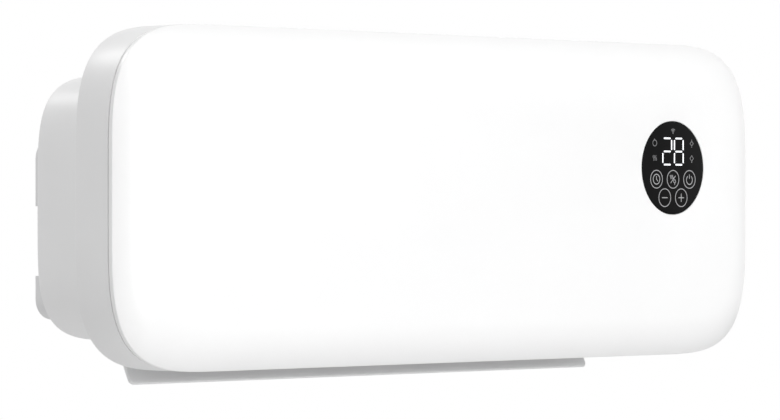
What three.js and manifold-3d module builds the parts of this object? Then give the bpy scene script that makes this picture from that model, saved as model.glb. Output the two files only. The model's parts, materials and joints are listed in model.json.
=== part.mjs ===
// Bathroom wall fan heater, in millimetres with +Z up. The wall is the plane y = 0 and the heater
// stands out of it towards -Y, so "out" below is a distance from the wall. +X is to the right of
// somebody who faces the heater, and z = 0 is the middle height of the front panel.

import * as THREE from "three";
import { mergeVertices } from "three/addons/utils/BufferGeometryUtils.js";
import Module from "manifold-3d";

const wasm = await Module();
wasm.setup();

// ---- Fits -------------------------------------------------------------------
const SEAT_GAP = 0.3; // between two pieces that rest on each other
const RUNNING_GAP = 0.35; // around a pin or shaft that turns in a hole
const SWING_GAP = 1.2; // around a piece that swings past another

// ---- Roundness --------------------------------------------------------------
const CORNER_STEPS = 6; // segments of one casing corner
const CROWN_STEPS = 4; // segments across the rounded border of the front panel
const ROUND_STEPS = 16; // sides of a bore, pin or disc
const FINE_STEPS = 8; // sides of a small screw, boss or hole

// ---- Front panel and the band behind it -------------------------------------
const PANEL_WIDTH = 592;
const PANEL_HEIGHT = 215;
const PANEL_CORNER = 88; // how far a corner's curve runs along each side
const PANEL_SQUARENESS = 3.45; // 2 is a plain ellipse, more is squarer
const PANEL_WALL = 2.5;
const PANEL_RIM = 3.1; // straight edge between the groove and the rounded border
const CROWN_RISE = 10.8;
const CROWN_BORDER = 26.6;
const GROOVE_WIDTH = 1;
const GROOVE_DEPTH = 1.4;
const BAND_DEPTH = 30.5;
const BAND_WALL = 2.5;
const BAND_BACK_WALL = 2.5;
const BAND_BACK_RADIUS = 1.4;
const EDGE_SHARE = 0.3; // a rounded edge's middle corner stands off both faces by this share
const WALL_CORNER_RATE = 1.67; // an even inset shortens a squarish corner by this many insets
const CROWN_CORNER_RATE = 1; // the rounded border keeps its corners wide
const WIRE_WINDOW_WIDTH = 26; // opening in the band's floor for the wires
const WIRE_WINDOW_HEIGHT = 16;
const WIRE_WINDOW_CORNER = 3;
const WIRE_WINDOW_RIGHT = 232;
const WIRE_WINDOW_UP = -42;

// ---- Rear housing -----------------------------------------------------------
const HOUSING_WIDTH = 534;
const HOUSING_HEIGHT = 169;
const HOUSING_DROP = 6; // its middle lies this far below the panel's middle
const HOUSING_CORNER = 79;
const HOUSING_SQUARENESS = 4.1;
const HOUSING_DEPTH = 70.4;
const HOUSING_WALL = 2.5;
const HOUSING_BACK_RADIUS = 1;

// ---- Wall bracket -----------------------------------------------------------
const BRACKET_WIDTH = 521;
const BRACKET_HEIGHT = 115;
const BRACKET_BOTTOM = -76.8;
const BRACKET_DEPTH = 10;
const BRACKET_CORNER = 13;
const BRACKET_SHEET = 1.6;
const CORD_NOTCH_HEIGHT = 44;
const CORD_NOTCH_WIDTH = 26;
const CORD_NOTCH_BOTTOM = -49;
const HOOK_SPACING = 462; // between the two hooks' middles
const HOOK_WIDTH = 14;
const HOOK_RISE = 9;
const HOOK_HEIGHT = 12; // height of the hook's arm above the panel's middle
const WALL_SLOT_SPACING = 380;
const WALL_SLOT_LENGTH = 14;
const WALL_SLOT_WIDTH = 5;
const WALL_SLOT_HEIGHT = 22;
const WALL_SLOT_RISE = -60;

// ---- Fan --------------------------------------------------------------------
const FAN_RADIUS = 28;
const FAN_LENGTH = 396;
const FAN_OUT = 48;
const FAN_HEIGHT = 20;
const FAN_SECTIONS = 3;
const BLADE_COUNT = 22;
const BLADE_THICKNESS = 1.2;
const BLADE_CHORD = 8;
const BLADE_LEAD = 17; // degrees that a blade's outer edge leads its inner edge
const FAN_DISC_THICKNESS = 1.8;
const FAN_HUB_RADIUS = 8;
const FAN_HUB_LENGTH = 7;
const SHAFT_RADIUS = 3;
const SHAFT_HOLE = 6; // radius of the hole that the shaft passes through
const FAN_CLEARANCE = 2.2; // between the wheel and the walls of the air duct
const BEARING_RADIUS = 9;
const BEARING_DEPTH = 8;
const BEARING_NECK = 2; // depth of the groove round the bearing
const SHAFT_SETBACK = 1; // the shaft and the end pin stop this far short inside their hubs

// ---- Air duct ---------------------------------------------------------------
const DUCT_LENGTH = 410;
const DUCT_WALL = 2;
const DUCT_BACK = 24; // inner face of the outlet duct's rear wall
const DUCT_FRONT = 66; // inner face of its front wall
const DUCT_FOOT = -74;
const DUCT_END_WALL = 2.5;
const DUCT_END_TOP = 56;
const DUCT_END_CORNER = 10;
const SCROLL_FROM = 118; // degrees about the wheel where the rear wall starts
const SCROLL_TO = 205;
const SCROLL_STEPS = 9;
const TONGUE_FROM = -42; // degrees about the wheel where the front wall's tongue starts
const TONGUE_TO = 2;
const TONGUE_STEPS = 5;

// ---- Top inlet and bottom outlet --------------------------------------------
const INLET_LENGTH = 364;
const INLET_BACK = 17;
const INLET_FRONT = 70;
const GRILLE_SLATS = 23;
const GRILLE_SLAT_THICKNESS = 2.4;
const GRILLE_LEAN = 24; // degrees that each slat leans from upright
const GRILLE_FRAME = 5;
const GRILLE_DEPTH = 5;
const FRAME_CORNER = 1; // corners of the grille's and the guard's frames
const SLAT_RECESS = 1; // the slats and vanes lie this far inside their frames
const OUTLET_LENGTH = 429.4;
const OUTLET_BACK = 23;
const GUARD_HEIGHT = 5;
const GUARD_VANES = 11;
const GUARD_VANE_THICKNESS = 1.6;
const GUARD_FRAME = 2.5;

// ---- Outlet flap ------------------------------------------------------------
const FLAP_LENGTH = 427;
const FLAP_OPEN_ANGLE = 68; // how far the flap hangs open below its closed, level place
const FLAP_PIVOT_OUT = 31.7;
const FLAP_PIVOT_LIFT = 8.6; // pivot above the underside of the closed flap
const FLAP_REACH = 36.2; // from the pivot to the front edge
const FLAP_HEEL = 2; // from the pivot to the rear edge
const FLAP_THICKNESS = 2.4;
const FLAP_BOW = 1.1;
const FLAP_CORNER = 3.2;
const FLAP_ARM_THICKNESS = 3;
const FLAP_PIN_RADIUS = 2.2;
const FLAP_PIN_LENGTH = 7;
const FLAP_MOTOR_RADIUS = 10;
const FLAP_MOTOR_LENGTH = 17;
const FLAP_MOTOR_OFFSET = 8; // its shaft is off the middle of its round case
const FLAP_MOTOR_EARS = 29; // across the motor's two fixing ears
const FLAP_MOTOR_EAR_SHEET = 1;
const FLAP_KNUCKLE_RADIUS = 3.7; // round end of each arm, about its pin
const FLAP_ARM_SHARE = 0.5; // share of the reach that an arm runs along
const FLAP_NOSE = 1; // how far the front edge's rounding runs back
const FLAP_STEPS = 6; // segments of the bowed blade
const MOTOR_LUG_RISE = 12.8; // top of the lug that carries the motor, above the pivot
const PIN_LUG_RISE = 5.3;
const PIN_LUG_WIDTH = 11;

// ---- Heater -----------------------------------------------------------------
const HEATER_LENGTH = 384;
const HEATER_HEIGHT = 14; // along the air stream
const HEATER_MIDDLE = -51;
const HEATER_TUBE = 4.6;
const FIN_DEPTH = 8.6;
const FIN_WAVES = 17;
const FIN_SHEET = 0.8;
const HEATER_END_LENGTH = 13;
const HEATER_SOCKET = 6; // how far a heating tube reaches into its end block
const HEATER_END_RIM = 3;
const FIN_TURN = 0.1; // share of a wave's length that each of its bends starts after
const CUTOUT_FLANGE_RADIUS = 8;
const CUTOUT_FLANGE_DEPTH = 4.5;
const CUTOUT_RADIUS = 6.2;
const CUTOUT_DEPTH = 9;
const CUTOUT_EAR_LENGTH = 26;
const CUTOUT_EAR_SHEET = 1.2;

// ---- Fan motor --------------------------------------------------------------
const MOTOR_CORE_WIDTH = 46;
const MOTOR_STACK = 18;
const ROTOR_RADIUS = 12;
const ROTOR_AIR_GAP = 0.5;
const MOTOR_CROWN = 10; // iron above the rotor's bore
const MOTOR_WEB = 4; // iron between the bore and the coil's window
const MOTOR_LEG = 12; // iron under the window, which the coil goes round
const MOTOR_WINDOW = 8;
const MOTOR_BRIDGE = 4;
const MOTOR_STANDOFF = 5;
const MOTOR_SCREW_SPACING = 34;
const MOTOR_SCREW_RADIUS = 2;
const MOTOR_SCREW_HEAD_RADIUS = 3.6;
const MOTOR_SCREW_HEAD = 2;
const MOTOR_CORE_CORNER = 4;
const MOTOR_WINDOW_CORNER = 1;
const MOTOR_ARM_WIDTH = 12;
const MOTOR_ARM_CORNER = 5;
const MOTOR_BOSS_RADIUS = 7.8;
const MOTOR_SHAFT_END = 10; // the shaft ends this far past the core
const COIL_CHEEK = 1; // clear space at each end of the coil, for its bobbin's cheeks

// ---- Display ----------------------------------------------------------------
const DISPLAY_FROM_END = 89.9; // from the panel's right end to the display's middle
const DISPLAY_UP = 21.8;
const DISPLAY_DIAMETER = 64.2;
const LENS_THICKNESS = 1.6;
const LENS_LEDGE = 3;
const BOARD_THICKNESS = 1.6;
const BOARD_BEHIND_LENS = 8;
const DIGIT_BLOCK_WIDTH = 28;
const DIGIT_BLOCK_CORNER = 1;
const DIGIT_BLOCK_MARGIN = 10; // from the lens's top edge down to the block
const DIGIT_BLOCK_KEY_GAP = 2.695; // from the block down to the upper keys' springs
const KEY_DIAMETER = 13.2;
const KEY_PITCH = 17.2;
const KEY_ROW_PITCH = 12.7;
const KEY_MARGIN = 3.2; // from the lens's edge to the lower keys
const SPRING_FOOT_SHARE = 0.25; // a spring's narrow end as a share of the key's diameter
const SPRING_TIP_SHARE = 0.4;

// ---- Power board ------------------------------------------------------------
const POWER_BOARD_WIDTH = 170;
const POWER_BOARD_HEIGHT = 84;
const POWER_BOARD_RIGHT = -110;
const POWER_BOARD_UP = 4;
const BOARD_STANDOFF = 7;
const BOARD_STANDOFF_RADIUS = 4;
const BOARD_EDGE = 6; // from the board's edge to its screws
const BOARD_SCREW_RADIUS = 1.5;
const BOARD_SCREW_HEAD_RADIUS = 3;
const BOARD_SCREW_HEAD = 1.8;
const BOARD_SCREW_LENGTH = 7.6;
const BOARD_CORNER = 2;
const RELAY_SIZE = [19, 15, 15]; // width, height and depth
const RELAYS_RIGHT = -50; // from the board's middle
const RELAY_RISES = [20, -14];
const CAPACITOR_SIZE = [26, 11, 17];
const CAPACITOR_RIGHT = 10;
const CAPACITOR_RISE = 18;
const TERMINAL_SIZE = [30, 14, 16]; // width, depth and height
const TERMINAL_POLES = 3;
const TERMINAL_LEFT_OF_GLAND = 8;
const TERMINAL_UP = -62;
const TERMINAL_PORT_SHARE = 0.6; // a wire port's width as a share of the poles' pitch
const TERMINAL_WELL_SHARE = 0.25;

// ---- Switch, gland and screws -----------------------------------------------
const SWITCH_OUT = 46;
const SWITCH_UP = -6;
const SWITCH_WIDTH = 21; // along the wall's normal
const SWITCH_HEIGHT = 15;
const SWITCH_FLANGE = 2;
const SWITCH_BODY_DEPTH = 15;
const SWITCH_TILT = 10; // degrees that the rocker leans to each side
const SWITCH_WELL = 9;
const SWITCH_FRAME_WALL = 1.2;
const ROCKER_PIVOT_DEPTH = 3; // pivot behind the frame's front face
const ROCKER_PROUD = 1;
const ROCKER_ROOT = 3;
const ROCKER_ROOT_SHARE = 0.45; // half width of the rocker's foot as a share of its half width
const ROCKER_SIDE_SHARE = 0.97;
const ROCKER_HOLLOW = 2.2; // depth of the hollow in its top
const GLAND_RIGHT = 236;
const GLAND_UP = -30;
const GLAND_BORE = 4;
const GLAND_RADIUS = 7;
const GLAND_TAIL = 5;
const GLAND_FLANGE = 2;
const GLAND_EDGE = 1;
const HOUSING_SCREW_RIGHT = 250.5;
const HOUSING_SCREW_RISES = [-56, 13, 56]; // about the housing's own middle
const TOWER_RADIUS = 5.4;
const SCREW_HEAD_RADIUS = 3.4;
const SCREW_SHANK_RADIUS = 1.7;
const SCREW_LENGTH = 12;
const SCREW_HEAD_HEIGHT = 2.6;
const SCREW_TIP = 1;
const BOSS_RADIUS = 4;
const BOSS_LENGTH = 11;

// ---- Values worked out from the dimensions above ----------------------------
const HOUSING_BACK_OUT = BRACKET_DEPTH + SEAT_GAP;
const HOUSING_FRONT_OUT = HOUSING_BACK_OUT + HOUSING_DEPTH;
const BAND_BACK_OUT = HOUSING_FRONT_OUT + SEAT_GAP;
const TRAY_FLOOR_OUT = BAND_BACK_OUT + BAND_BACK_WALL;
const BAND_FRONT_OUT = BAND_BACK_OUT + BAND_DEPTH;
const RIM_BACK_OUT = BAND_FRONT_OUT + GROOVE_WIDTH;
const RIM_FRONT_OUT = RIM_BACK_OUT + PANEL_RIM;
const PANEL_FRONT_OUT = RIM_FRONT_OUT + CROWN_RISE;
const PANEL_INSIDE_OUT = PANEL_FRONT_OUT - PANEL_WALL;
const HOUSING_TOP = HOUSING_HEIGHT / 2 - HOUSING_DROP;
const HOUSING_BOTTOM = -HOUSING_HEIGHT / 2 - HOUSING_DROP;
const HOUSING_SIDE = HOUSING_WIDTH / 2;
const FLAP_PIVOT_HEIGHT = HOUSING_BOTTOM + FLAP_PIVOT_LIFT;
const OUTLET_FRONT = FLAP_PIVOT_OUT + FLAP_REACH + SWING_GAP;
const DUCT_END_AT = DUCT_LENGTH / 2 + SEAT_GAP; // inner faces of the duct's end plates
const DUCT_END_OUTSIDE = DUCT_END_AT + DUCT_END_WALL;
const DUCT_END_BACK = HOUSING_BACK_OUT + HOUSING_WALL + SEAT_GAP;
const DUCT_END_FRONT = HOUSING_FRONT_OUT - SEAT_GAP;
const POWER_BOARD_OUT = TRAY_FLOOR_OUT + BOARD_STANDOFF + SEAT_GAP;
const COMPONENTS_OUT = POWER_BOARD_OUT + BOARD_THICKNESS + SEAT_GAP;
const MOTOR_INNER_FACE = DUCT_END_OUTSIDE + SEAT_GAP + MOTOR_STANDOFF + MOTOR_BRIDGE;
const MOTOR_MIDDLE = MOTOR_INNER_FACE + SEAT_GAP + MOTOR_STACK / 2;
const MOTOR_BORE = ROTOR_RADIUS + ROTOR_AIR_GAP;
const MOTOR_WINDOW_TOP = -(MOTOR_BORE + MOTOR_WEB);
const MOTOR_CORE_BOTTOM = MOTOR_WINDOW_TOP - MOTOR_WINDOW - MOTOR_LEG;
const MOTOR_CORE_TOP = MOTOR_BORE + MOTOR_CROWN;
const MOTOR_SCREW_RISE = MOTOR_BORE + MOTOR_CROWN * 0.35;
const DISPLAY_RADIUS = DISPLAY_DIAMETER / 2;
const DISPLAY_RIGHT = PANEL_WIDTH / 2 - DISPLAY_FROM_END;
const LOWER_KEYS_REACH = DISPLAY_RADIUS - KEY_MARGIN - KEY_DIAMETER / 2;
const LOWER_KEYS_DOWN = Math.sqrt(LOWER_KEYS_REACH ** 2 - (KEY_PITCH / 2) ** 2);
const UPPER_KEYS_DOWN = LOWER_KEYS_DOWN - KEY_ROW_PITCH;
const SPRING_TIP_RADIUS = KEY_DIAMETER * SPRING_TIP_SHARE;
const DIGIT_BLOCK_TOP = DISPLAY_RADIUS - DIGIT_BLOCK_MARGIN;
const DIGIT_BLOCK_BOTTOM = SPRING_TIP_RADIUS - UPPER_KEYS_DOWN + DIGIT_BLOCK_KEY_GAP;
const DIGIT_BLOCK_HEIGHT = DIGIT_BLOCK_TOP - DIGIT_BLOCK_BOTTOM;
const DIGIT_BLOCK_RISE = (DIGIT_BLOCK_TOP + DIGIT_BLOCK_BOTTOM) / 2;
const EXTRA = 1; // how far a cutting tool passes through, or a fused piece reaches into, the body

const radians = THREE.MathUtils.degToRad;
const point = (x, y) => new THREE.Vector2(x, y);
const FAN_AXIS = point(FAN_OUT, FAN_HEIGHT);

// ---- Solid operations -------------------------------------------------------

/** The geometry as a closed solid that can be joined and cut. */
function solidFrom(geometry) {
  const bare = geometry.clone();
  bare.deleteAttribute("normal");
  bare.deleteAttribute("uv");
  const merged = mergeVertices(bare);
  return new wasm.Manifold(
    new wasm.Mesh({
      numProp: 3,
      vertProperties: merged.attributes.position.array,
      triVerts: new Uint32Array(merged.index.array),
    }),
  );
}

/** A solid's triangles as a geometry with face normals. */
function geometryFrom(solid) {
  const mesh = solid.getMesh();
  const geometry = new THREE.BufferGeometry();
  geometry.setAttribute("position", new THREE.BufferAttribute(mesh.vertProperties, 3));
  geometry.setIndex(new THREE.BufferAttribute(mesh.triVerts, 1));
  geometry.computeVertexNormals();
  return geometry;
}

/** The body with the added geometries fused on and then the removed ones cut away. */
function carve(body, { add = [], remove = [] }) {
  let solid = solidFrom(body);
  for (const piece of add) solid = solid.add(solidFrom(piece));
  for (const piece of remove) solid = solid.subtract(solidFrom(piece));
  return geometryFrom(solid);
}

/** What two geometries have in common. */
function overlapOf(first, second) {
  return geometryFrom(solidFrom(first).intersect(solidFrom(second)));
}

// ---- Shapes -----------------------------------------------------------------

/** A box given by its three sizes and its middle. */
function boxAt(sizeX, sizeY, sizeZ, x, y, z) {
  return new THREE.BoxGeometry(sizeX, sizeY, sizeZ).translate(x, y, z);
}

/** A cylinder along X, centred at x. */
function rodAlongX(radius, length, x = 0, y = 0, z = 0, steps = ROUND_STEPS) {
  const rod = new THREE.CylinderGeometry(radius, radius, length, steps);
  return rod.rotateZ(Math.PI / 2).translate(x, y, z);
}

/** A cylinder that stands out from the wall between two distances. */
function rodOut(radius, from, to, x, z, steps = ROUND_STEPS) {
  const rod = new THREE.CylinderGeometry(radius, radius, to - from, steps);
  return rod.translate(x, -(from + to) / 2, z);
}

/** A shape drawn in x and z, extruded outwards from a distance off the wall. */
function extrudeOut(shape, depth, out = 0, curveSegments = 2) {
  const body = new THREE.ExtrudeGeometry(shape, {
    depth, bevelEnabled: false, curveSegments,
  });
  return body.rotateX(Math.PI / 2).translate(0, -out, 0);
}

/** A section drawn in out and z, extruded along X about x = 0. */
function extrudeAcross(shape, length, curveSegments = 6) {
  const body = new THREE.ExtrudeGeometry(shape, {
    depth: length,
    bevelEnabled: false,
    curveSegments,
  });
  const frame = new THREE.Matrix4().makeBasis(
    new THREE.Vector3(0, -1, 0),
    new THREE.Vector3(0, 0, 1),
    new THREE.Vector3(-1, 0, 0),
  );
  return body.applyMatrix4(frame).translate(length / 2, 0, 0);
}

/** A rectangle with round corners, centred at cx, cy. */
function roundedRectangle(width, height, radius, cx = 0, cy = 0, Kind = THREE.Shape) {
  const [left, right] = [cx - width / 2, cx + width / 2];
  const [low, high] = [cy - height / 2, cy + height / 2];
  const shape = new Kind();
  shape.moveTo(left + radius, low);
  shape.absarc(right - radius, low + radius, radius, -Math.PI / 2, 0);
  shape.absarc(right - radius, high - radius, radius, 0, Math.PI / 2);
  shape.absarc(left + radius, high - radius, radius, Math.PI / 2, Math.PI);
  shape.absarc(left + radius, low + radius, radius, Math.PI, Math.PI * 1.5);
  shape.closePath();
  return shape;
}

/** A round hole for a shape. */
function roundHole(x, y, radius, steps = FINE_STEPS) {
  const corners = Array.from({ length: steps }, (_, step) => {
    const angle = (-step / steps) * Math.PI * 2;
    return point(x + radius * Math.cos(angle), y + radius * Math.sin(angle));
  });
  return new THREE.Path(corners);
}

/** A strip of even thickness along a line of points. */
function strip(line, thickness) {
  const sides = line.map((here, index) => {
    const before = line[Math.max(index - 1, 0)];
    const after = line[Math.min(index + 1, line.length - 1)];
    const along = after.clone().sub(before).normalize();
    const across = point(-along.y, along.x).multiplyScalar(thickness / 2);
    return [here.clone().add(across), here.clone().sub(across)];
  });
  const left = sides.map(([side]) => side);
  const right = sides.map(([, side]) => side).reverse();
  return new THREE.Shape([...left, ...right]);
}

/** Points on a spiral about a middle, from one angle in degrees and radius to another. */
function spiral(middle, fromAngle, toAngle, fromRadius, toRadius, steps) {
  return Array.from({ length: steps + 1 }, (_, step) => {
    const share = step / steps;
    const angle = radians(fromAngle + (toAngle - fromAngle) * share);
    const radius = fromRadius + (toRadius - fromRadius) * share;
    return point(middle.x + radius * Math.cos(angle), middle.y + radius * Math.sin(angle));
  });
}

// ---- Casing outlines --------------------------------------------------------

const PANEL_OUTLINE = {
  halfWidth: PANEL_WIDTH / 2,
  halfHeight: PANEL_HEIGHT / 2,
  corner: PANEL_CORNER,
  squareness: PANEL_SQUARENESS,
  middle: 0,
};
const HOUSING_OUTLINE = {
  halfWidth: HOUSING_WIDTH / 2,
  halfHeight: HOUSING_HEIGHT / 2,
  corner: HOUSING_CORNER,
  squareness: HOUSING_SQUARENESS,
  middle: -HOUSING_DROP,
};

/** One ring of a casing: its outline moved inwards, at a distance from the wall. */
function ring(outline, inset, out, cornerRate = WALL_CORNER_RATE) {
  const { halfWidth, halfHeight, squareness, middle } = outline;
  const corner = outline.corner - inset * cornerRate;
  const coreX = halfWidth - inset - corner;
  const coreZ = halfHeight - inset - corner;
  const points = [];
  for (const [signX, signZ, start] of [[1, 1, 0], [-1, 1, 1], [-1, -1, 2], [1, -1, 3]]) {
    for (let step = 0; step <= CORNER_STEPS; step += 1) {
      const forward = start % 2 === 0 ? step : CORNER_STEPS - step;
      const angle = (forward / CORNER_STEPS) * (Math.PI / 2);
      const reachX = corner * Math.cos(angle) ** (2 / squareness);
      const reachZ = corner * Math.sin(angle) ** (2 / squareness);
      points.push(point(signX * (coreX + reachX), middle + signZ * (coreZ + reachZ)));
    }
  }
  return { points, out };
}

/** A closed solid through rings that run outwards from the wall. */
function loft(rings) {
  const count = rings[0].points.length;
  const positions = [];
  const faces = [];
  for (const { points, out } of rings) points.forEach((p) => positions.push(p.x, -out, p.y));
  for (let level = 0; level < rings.length - 1; level += 1) {
    for (let side = 0; side < count; side += 1) {
      const next = (side + 1) % count;
      const [low, high] = [level * count, (level + 1) * count];
      faces.push(low + side, low + next, high + next, low + side, high + next, high + side);
    }
  }
  const last = (rings.length - 1) * count;
  for (let side = 1; side < count - 1; side += 1) {
    faces.push(0, side + 1, side);
    faces.push(last, last + side, last + side + 1);
  }
  const geometry = new THREE.BufferGeometry();
  geometry.setAttribute("position", new THREE.Float32BufferAttribute(positions, 3));
  geometry.setIndex(faces);
  return geometry;
}

/** Rings over the panel's rounded border: an arc that rises from the rim to the flat middle. */
function crownRings(inset, rimOut) {
  const radius = (CROWN_BORDER ** 2 + CROWN_RISE ** 2) / (2 * CROWN_RISE);
  const steepest = Math.asin(CROWN_BORDER / radius);
  return Array.from({ length: CROWN_STEPS + 1 }, (_, step) => {
    const angle = steepest * (1 - step / CROWN_STEPS);
    const inwards = inset + CROWN_BORDER - radius * Math.sin(angle);
    const out = rimOut + CROWN_RISE - radius * (1 - Math.cos(angle));
    return ring(PANEL_OUTLINE, inwards, out, CROWN_CORNER_RATE);
  });
}

// ---- Front panel, display and band ------------------------------------------

/** White front shell with its rounded border, display window and the collar behind it. */
function frontPanel() {
  const lipBack = BAND_FRONT_OUT + SEAT_GAP;
  const shell = loft([
    ring(PANEL_OUTLINE, GROOVE_DEPTH, lipBack),
    ring(PANEL_OUTLINE, GROOVE_DEPTH, RIM_BACK_OUT),
    ring(PANEL_OUTLINE, 0, RIM_BACK_OUT),
    ...crownRings(0, RIM_FRONT_OUT),
  ]);
  const hollow = loft([
    ring(PANEL_OUTLINE, PANEL_WALL, lipBack - EXTRA),
    ...crownRings(PANEL_WALL, RIM_FRONT_OUT - PANEL_WALL),
  ]);
  const lensPocket = DISPLAY_RADIUS + SEAT_GAP;
  const pocketFloor = PANEL_FRONT_OUT - LENS_THICKNESS - SEAT_GAP;
  const windowRadius = DISPLAY_RADIUS - LENS_LEDGE;
  const collarBack = PANEL_INSIDE_OUT - BOARD_BEHIND_LENS - BOARD_THICKNESS;
  const collarOutside = lensPocket + PANEL_WALL;
  const at = [DISPLAY_RIGHT, DISPLAY_UP, ROUND_STEPS * 2];
  const collar = rodOut(collarOutside, collarBack, PANEL_FRONT_OUT - PANEL_WALL / 2, ...at);
  const shellWithCollar = carve(shell, { remove: [hollow] });
  return carve(shellWithCollar, {
    add: [collar],
    remove: [
      rodOut(lensPocket, pocketFloor, PANEL_FRONT_OUT + EXTRA, ...at),
      rodOut(windowRadius, collarBack - EXTRA, PANEL_FRONT_OUT + EXTRA, ...at),
      rodOut(lensPocket, collarBack - EXTRA, PANEL_INSIDE_OUT - LENS_LEDGE, ...at),
    ],
  });
}

/** Round black glass, seated in the panel's pocket and flush with it. */
function displayLens() {
  const front = PANEL_FRONT_OUT;
  return rodOut(DISPLAY_RADIUS, front - LENS_THICKNESS, front, 0, 0, ROUND_STEPS * 2);
}

/** Band behind the panel: a tray whose floor carries the boards and closes the rear housing. */
function midCasing() {
  const outside = loft([
    ring(PANEL_OUTLINE, BAND_BACK_RADIUS, BAND_BACK_OUT),
    ring(PANEL_OUTLINE, BAND_BACK_RADIUS * EDGE_SHARE, BAND_BACK_OUT + BAND_BACK_RADIUS * EDGE_SHARE),
    ring(PANEL_OUTLINE, 0, BAND_BACK_OUT + BAND_BACK_RADIUS),
    ring(PANEL_OUTLINE, 0, BAND_FRONT_OUT),
  ]);
  const hollow = loft([
    ring(PANEL_OUTLINE, BAND_WALL, TRAY_FLOOR_OUT),
    ring(PANEL_OUTLINE, BAND_WALL, BAND_FRONT_OUT + EXTRA),
  ]);
  const bosses = screwPlaces().map(([x, z]) =>
    rodOut(BOSS_RADIUS, TRAY_FLOOR_OUT - EXTRA, TRAY_FLOOR_OUT + BOSS_LENGTH, x, z, FINE_STEPS),
  );
  const pilots = screwPlaces().map(([x, z]) =>
    rodOut(
      SCREW_SHANK_RADIUS + SEAT_GAP,
      BAND_BACK_OUT - EXTRA,
      TRAY_FLOOR_OUT + BOSS_LENGTH + EXTRA,
      x,
      z,
      FINE_STEPS,
    ),
  );
  const standoffs = boardScrewPlaces().map(([x, z]) =>
    rodOut(
      BOARD_STANDOFF_RADIUS,
      TRAY_FLOOR_OUT - EXTRA,
      TRAY_FLOOR_OUT + BOARD_STANDOFF,
      x,
      z,
      FINE_STEPS,
    ),
  );
  const standoffPilots = boardScrewPlaces().map(([x, z]) =>
    rodOut(
      BOARD_SCREW_RADIUS + SEAT_GAP,
      TRAY_FLOOR_OUT + SEAT_GAP,
      TRAY_FLOOR_OUT + BOARD_STANDOFF + EXTRA,
      x,
      z,
      FINE_STEPS,
    ),
  );
  const wireWindow = extrudeOut(
    roundedRectangle(
      WIRE_WINDOW_WIDTH, WIRE_WINDOW_HEIGHT, WIRE_WINDOW_CORNER,
      WIRE_WINDOW_RIGHT, WIRE_WINDOW_UP,
    ),
    BAND_BACK_WALL + EXTRA * 2,
    BAND_BACK_OUT - EXTRA,
  );
  return carve(carve(outside, { remove: [hollow] }), {
    add: [...bosses, ...standoffs],
    remove: [...pilots, ...standoffPilots, wireWindow],
  });
}

// ---- Rear housing -----------------------------------------------------------

/** Places of the screws that hold the rear housing to the band. */
function screwPlaces() {
  return [-1, 1].flatMap((side) =>
    HOUSING_SCREW_RISES.map((rise) => [side * HOUSING_SCREW_RIGHT, rise - HOUSING_DROP]),
  );
}

/** Places of the power board's four screws. */
function boardScrewPlaces() {
  const acrossX = POWER_BOARD_WIDTH / 2 - BOARD_EDGE;
  const acrossZ = POWER_BOARD_HEIGHT / 2 - BOARD_EDGE;
  return [-1, 1].flatMap((sideX) =>
    [-1, 1].map((sideZ) => [
      POWER_BOARD_RIGHT + sideX * acrossX,
      POWER_BOARD_UP + sideZ * acrossZ,
    ]),
  );
}

/** Box-shaped tool between two distances from the wall. */
function windowTool(width, fromOut, toOut, fromZ, toZ, x = 0) {
  return boxAt(width, toOut - fromOut, toZ - fromZ, x, -(fromOut + toOut) / 2, (fromZ + toZ) / 2);
}

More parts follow.
